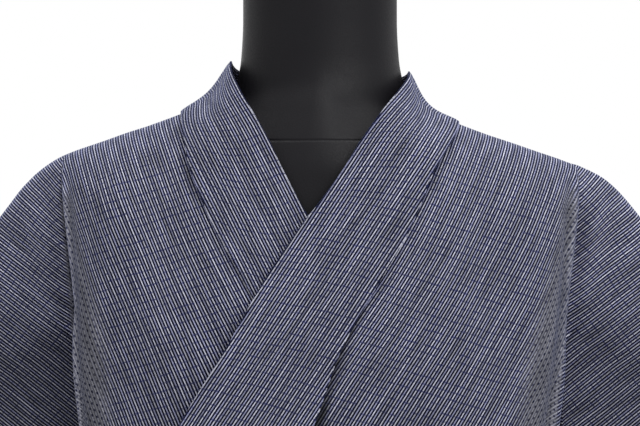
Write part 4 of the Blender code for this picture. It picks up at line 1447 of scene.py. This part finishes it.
def plain_cotton(name):
    """Dark navy cotton with a fine plain weave."""
    n = Finish(name)
    u, v = n.uv()
    warp, weft = ((place * (math.tau / COTTON_PITCH)).math("SINE") for place in (u, v))
    weave = warp * weft * 0.5 + 0.5
    shade = weave * 0.35 + streaks(u, v, 30.0, 90.0, detail=3.0) * 0.9
    n.set({
        "Base Color": blend(shade, (0.006, 0.007, 0.018, 1.0), (0.020, 0.023, 0.055, 1.0)),
        "Roughness": 0.85,
        "Specular IOR Level": 0.20,
    })
    n.sheen(0.10, 0.5, (0.7, 0.75, 1.0))
    n.bump(weave, 0.00025, 0.7)
    return n.material


def leatherette(name):
    """Smooth black covering with a fine pebble."""
    n = Finish(name)
    place = n.object_place()
    pebble = place.noise(900.0, 2.0)
    patch = place.noise(14.0, 3.0)
    n.set({
        "Base Color": blend(patch, (0.0036, 0.0032, 0.0050, 1.0), (0.0064, 0.0058, 0.0084, 1.0)),
        "Roughness": pebble.smooth(0.3, 0.7, 0.50, 0.62),
        "Specular IOR Level": 0.25,
    })
    n.bump(pebble, 0.00012, 0.6)
    return n.material


def satin_black(name, roughness, colour):
    """Satin black paint or moulding with faint handling wear."""
    n = Finish(name)
    place = n.object_place()
    wear = place.noise(40.0, 4.0)
    worn = tuple(part * 1.6 for part in colour)
    n.set({
        "Base Color": blend(wear, (*colour, 1.0), (*worn, 1.0)),
        "Roughness": wear.smooth(0.3, 0.7, roughness, roughness + 0.12),
        "Specular IOR Level": 0.35,
    })
    n.bump(place.noise(600.0, 2.0), 0.00006, 0.5)
    return n.material


SEAM_DENT = 0.0007
SEAM_WIDTH = 0.0008


def smooth_torso(finish):
    """The dress form's body as one smooth skin with a fine seam round its neck."""
    points = []
    for height in FORM_HEIGHTS:
        dent = SEAM_DENT * bell(height, NECK_SEAM, SEAM_WIDTH)
        points += [tuple(point - Vector((point.x, point.y, 0.0)).normalized() * dent)
                   for point in form_ring(height)]
    last = len(points) - FORM_COUNT
    faces = []
    for start in range(0, last, FORM_COUNT):
        for k in range(FORM_COUNT):
            k2 = (k + 1) % FORM_COUNT
            faces.append([start + k, start + k2, start + FORM_COUNT + k2, start + FORM_COUNT + k])
    faces.append(list(range(FORM_COUNT))[::-1])
    faces.append([last + k for k in range(FORM_COUNT)])
    made = mesh_piece("torso", points, faces, finish)
    made.data.set_sharp_from_angle(angle=math.radians(60.0))
    return made


# The seam beside the crease comes forward, and the crease on the wearer's right has a lip
SEAM_FORWARD = 0.010
SEAM_LOW_RANGES = ((1.215, 1.165), (1.100, 1.130))
SEAM_OUT_RANGE = (0.165, 0.177)
SEAM_DEPTH_RANGE = (-0.045, -0.015)
LIP_OUT = 0.0064
LIP_LOW_RANGES = ((1.265, 1.175), (1.050, 1.090))
LIP_OUT_RANGE = (0.150, 0.175)
LIP_DEPTH_RANGE = (-0.030, -0.044)


def ramps(value, ranges):
    """The product of a value's ramps over several ranges."""
    return math.prod(ramp(value, *pair) for pair in ranges)


def filled(point, side):
    """A point of a front panel, moved so that the crease is less of a hollow."""
    out = abs(point.x)
    seam = ramps(point.z, SEAM_LOW_RANGES) * ramp(out, *SEAM_OUT_RANGE) * ramp(point.y, *SEAM_DEPTH_RANGE)
    lip = ramps(point.z, LIP_LOW_RANGES) * ramp(point.y, *LIP_DEPTH_RANGE) * ramp(out, *LIP_OUT_RANGE)
    if side == LEFT:
        lip = 0.0
    return point + Vector((side * LIP_OUT * lip, -SEAM_FORWARD * seam, 0.0))


def dress(side, word):
    """The body panel, sleeve and overlap panel of one side."""
    panel = panel_grid(side)
    panel = [[filled(point, side) for point in row] for row in panel[:RIDGE_ROW]] + panel[RIDGE_ROW:]
    sleeve = sleeve_grid(side, panel)
    panel = drawn_in(panel, ((0, 1), (-1, -2)))
    overlap = drawn_in(overlap_grid(side), ((0, 1),))
    panel_normals, sleeve_normals = joined_normals(panel, sleeve)
    panel_normals, panel_turned = faced(panel_normals, len(SKIRT_HEIGHTS), 5)
    sleeve_normals, sleeve_turned = faced(sleeve_normals, 10, 20)
    overlap_normals, overlap_turned = faced(normals_of(overlap), 10, 5)
    chest, cap = panel_uv(panel, side)
    linen = striped_linen("linen_" + word, 2.0 * side)
    sleeve_linen = striped_linen("sleeve_linen_" + word, 2.0 * side + 1.0)
    body = cloth_mesh("kimono_body_" + word, pushed(panel, panel_normals, fold_depth), panel_normals, chest,
                      linen, turned=panel_turned, uv_beyond=cap, beyond=CHEST_COLUMNS,
                      shade=over_shade if side == LEFT else crease_shade)
    arm = cloth_mesh("kimono_sleeve_" + word, sleeve, sleeve_normals, cap_uv(sleeve, SLEEVE_RIDGE_ROW),
                     sleeve_linen, turned=sleeve_turned, shade=sleeve_shade)
    front = cloth_mesh("kimono_okumi_" + word, pushed(overlap, overlap_normals, fold_depth), overlap_normals,
                       plain_uv(overlap, turned=True), linen, turned=overlap_turned)
    return body, arm, front


# The collar's free edges seen from the front, the heights above which the cloth is moved to them,
# and the direction that its ribs take there
OVER_EDGE = table("height x", (1.172, -0.0844), (1.241, -0.0460), (1.297, -0.0088), (1.325, 0.0124),
                  (1.4085, 0.0675))
UNDER_EDGE = table("height x", (1.172, 0.0550), (1.297, -0.0092), (1.4127, -0.0698))
FREE_EDGES = {LEFT: OVER_EDGE, RIGHT: UNDER_EDGE}
EDGE_START = {LEFT: 1.262, RIGHT: 1.284}
EDGE_FADE = 0.012
EDGE_TOP_RANGE = (1.409, 1.379)
EDGE_MOST = 0.009
RIB_SLOPE = {LEFT: math.radians(56.5), RIGHT: math.radians(63.0)}
OVER_ROW_SHEAR = 0.30
RIB_FOOT = (-0.0092, 1.297)
NECK_RANGE = (1.350, 1.395)
# How far the standing collar sags, and the height from which it does
SAG = {LEFT: 0.0100, RIGHT: 0.0070}
SAG_START = {LEFT: 1.340, RIGHT: 1.348}
SAG_FADE = 0.025
SAG_POWER = 1.3
SAG_EDGE = 0.0035
SAG_IN = 0.72
SAG_DOWN = 0.70


def collar_side(index, count):
    """Which front a row of the collar belongs to, or none behind the neck."""
    if index < len(COLLAR_HEIGHTS):
        return LEFT
    return RIGHT if index >= count - len(COLLAR_HEIGHTS) else 0


def straightened(grid):
    """The collar with its free edges drawn straight between the neck and the point of the V."""
    moves = []
    for index, row in enumerate(grid):
        side = collar_side(index, len(grid))
        edge = row[-1]
        move = 0.0
        if side:
            start = EDGE_START[side]
            move = read(FREE_EDGES[side], edge.z)[0] - edge.x
            move *= ramp(edge.z, start, start + EDGE_FADE) * ramp(edge.z, *EDGE_TOP_RANGE)
        moves.append(min(max(move, -EDGE_MOST), EDGE_MOST))
    rows = []
    for index, row in enumerate(grid):
        near = moves[max(index - 2, 0):index + 3]
        move = sum(near) / len(near)
        rows.append([point + Vector((move * (place / COLLAR_COLUMNS) ** 1.5, 0.0, 0.0))
                     for place, point in enumerate(row)])
    return rows


def sagged(grid):
    """The collar with its stand curving in beside the neck, between its seam and its free edge."""
    rows = []
    for row in grid:
        seam = row[0]
        side = side_of(seam)
        weight = ramp(seam.z, SAG_START[side], SAG_START[side] + SAG_FADE)
        inward = Vector((-seam.x, -seam.y, 0.0)).normalized() * SAG_IN - Vector((0.0, 0.0, SAG_DOWN))
        line = []
        for place, point in enumerate(row):
            share = place / COLLAR_COLUMNS
            depth = SAG[side] * math.sin(math.pi * share) ** SAG_POWER + SAG_EDGE * share
            line.append(point + inward * (weight * depth))
        rows.append(line)
    return rows


def collar_uv(grid):
    """Cloth coordinates of the collar, whose ribs follow its free edge on the chest."""
    down, across = running_lengths(grid, COLLAR_COLUMNS)
    foot_x, foot_z = RIB_FOOT
    rows = []
    for index, row in enumerate(grid):
        side = collar_side(index, len(grid))
        middle = row[len(row) // 2].x
        line = []
        for place, point in enumerate(row):
            u = across[index][place]
            v = down[index][place]
            if side:
                slope = RIB_SLOPE[side]
                aside = side * (point.x - foot_x) * math.sin(slope) - (point.z - foot_z) * math.cos(slope)
                neck = ramp(point.z, *NECK_RANGE)
                u = mix(-aside, u, neck)
            if side == LEFT:
                v += OVER_ROW_SHEAR * (1.0 - neck) * (point.x - middle)
            line.append((u, v))
        rows.append(line)
    return rows


def collar_piece():
    """The collar round the neck, its folded edges a little proud."""
    grid = sagged(straightened(collar_grid()))
    normals, turned = faced(normals_of(grid), 40, 8)
    return cloth_mesh("kimono_collar", pushed(grid, normals, fold_depth), normals, collar_uv(grid),
                      striped_linen("collar_linen", 7.0), outer=0.0010, turned=turned)


def sash_piece():
    grid = sash_grid()
    normals, turned = faced(normals_of(grid), 2, SASH_COLUMNS // 2)
    return cloth_mesh("sash_band", pushed(grid, normals, fold_depth), normals, plain_uv(grid),
                      plain_cotton("navy_cotton"), outer=SASH_WALL / 2, inner=SASH_WALL / 2, turned=turned)


STAGE_COLOUR = (0.90, 0.90, 0.90, 1.0)
FLOOR_HALF = 12.0
FLOOR_DROP = 0.0005

LAMPS = table(
    "name x y z aim_z size watts",
    ("key", 1.7, -2.1, 3.3, 1.15, 1.8, 52.0),
    ("fill", -2.4, -1.8, 1.9, 1.20, 2.0, 4.0),
    ("top", 0.2, 0.3, 3.4, 1.20, 1.6, 26.0),
    ("back", -0.8, 3.2, 2.2, 1.10, 1.8, 14.0),
)
# How bright the room is toward the front and toward the back
ROOM_LIGHT = 0.52
BACK_LIGHT = 1.0
ROOM_RANGE = (-0.1, 0.6)

CAMERA_LENS = 129.8
CAMERA_DISTANCE = 1.8
CAMERA_HEIGHT = 1.30


def floor_piece():
    """A pale floor that the form stands on."""
    paint = Finish("floor_paint")
    paint.set({"Base Color": STAGE_COLOUR, "Roughness": 0.9})
    corners = [(x * FLOOR_HALF, y * FLOOR_HALF, 0.0) for x, y in ((-1, -1), (1, -1), (1, 1), (-1, 1))]
    made = mesh_piece("floor", corners, [(0, 1, 2, 3)], paint.material)
    made.location.z = -FLOOR_DROP
    return made


def light_scene():
    """Soft lamps, and a room that is brightest behind."""
    scene = bpy.context.scene
    for lamp in LAMPS:
        data = bpy.data.lights.new(lamp.name, "AREA")
        data.shape = "SQUARE"
        data.size = lamp.size
        data.energy = lamp.watts
        made = linked(lamp.name, data)
        made.location = (lamp.x, lamp.y, lamp.z)
        aim = Vector((0.0, 0.0, lamp.aim_z)) - made.location
        made.rotation_euler = aim.to_track_quat("-Z", "Y").to_euler()
    world = bpy.data.worlds.new("studio")
    world.use_nodes = True
    tree = world.node_tree
    toward_back = node(tree, "TexCoord", (), "Generated").parts()[1]
    background = tree.nodes["Background"]
    connect(tree, background.inputs["Color"], (1.0, 1.0, 1.0, 1.0))
    connect(tree, background.inputs["Strength"], toward_back.smooth(*ROOM_RANGE, ROOM_LIGHT, BACK_LIGHT))
    scene.world = world
    scene.view_settings.view_transform = "Standard"
    scene.view_settings.look = "None"


def place_camera():
    data = bpy.data.cameras.new("camera")
    data.sensor_width = 36.0
    data.lens = CAMERA_LENS
    data.clip_end = 50.0
    camera = linked("camera", data)
    camera.location = (0.0, -CAMERA_DISTANCE, CAMERA_HEIGHT)
    camera.rotation_euler = (math.pi / 2, 0.0, 0.0)
    bpy.context.scene.camera = camera


def hand_over(piece, cad_node):
    """Put a piece on the part's body in the place of a CAD node."""
    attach(piece, "root")
    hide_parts(cad_node)


def build():
    """The whole scene."""
    place_camera()
    light_scene()
    floor_piece()
    hand_over(smooth_torso(leatherette("black_leatherette")), "form_torso")
    cap = satin_black("cap_satin", 0.40, (0.010, 0.010, 0.012))
    stand = satin_black("stand_satin", 0.34, (0.012, 0.012, 0.014))
    for name, finish in (("neck_cap", cap), ("stand_pole", stand), ("stand_base", stand)):
        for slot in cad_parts[name].material_slots:
            slot.material = finish
    for side, word in ((LEFT, "left"), (RIGHT, "right")):
        body, sleeve, okumi = dress(side, word)
        for piece, cut in ((body, "body"), (sleeve, "sleeve"), (okumi, "okumi")):
            hand_over(piece, cut + "_" + word)
    for piece, cut, slot, held in ((collar_piece(), "collar", "linen", "draped"),
                                   (sash_piece(), "sash", "sash_cotton", "stretched")):
        hand_over(piece, cut)


build()
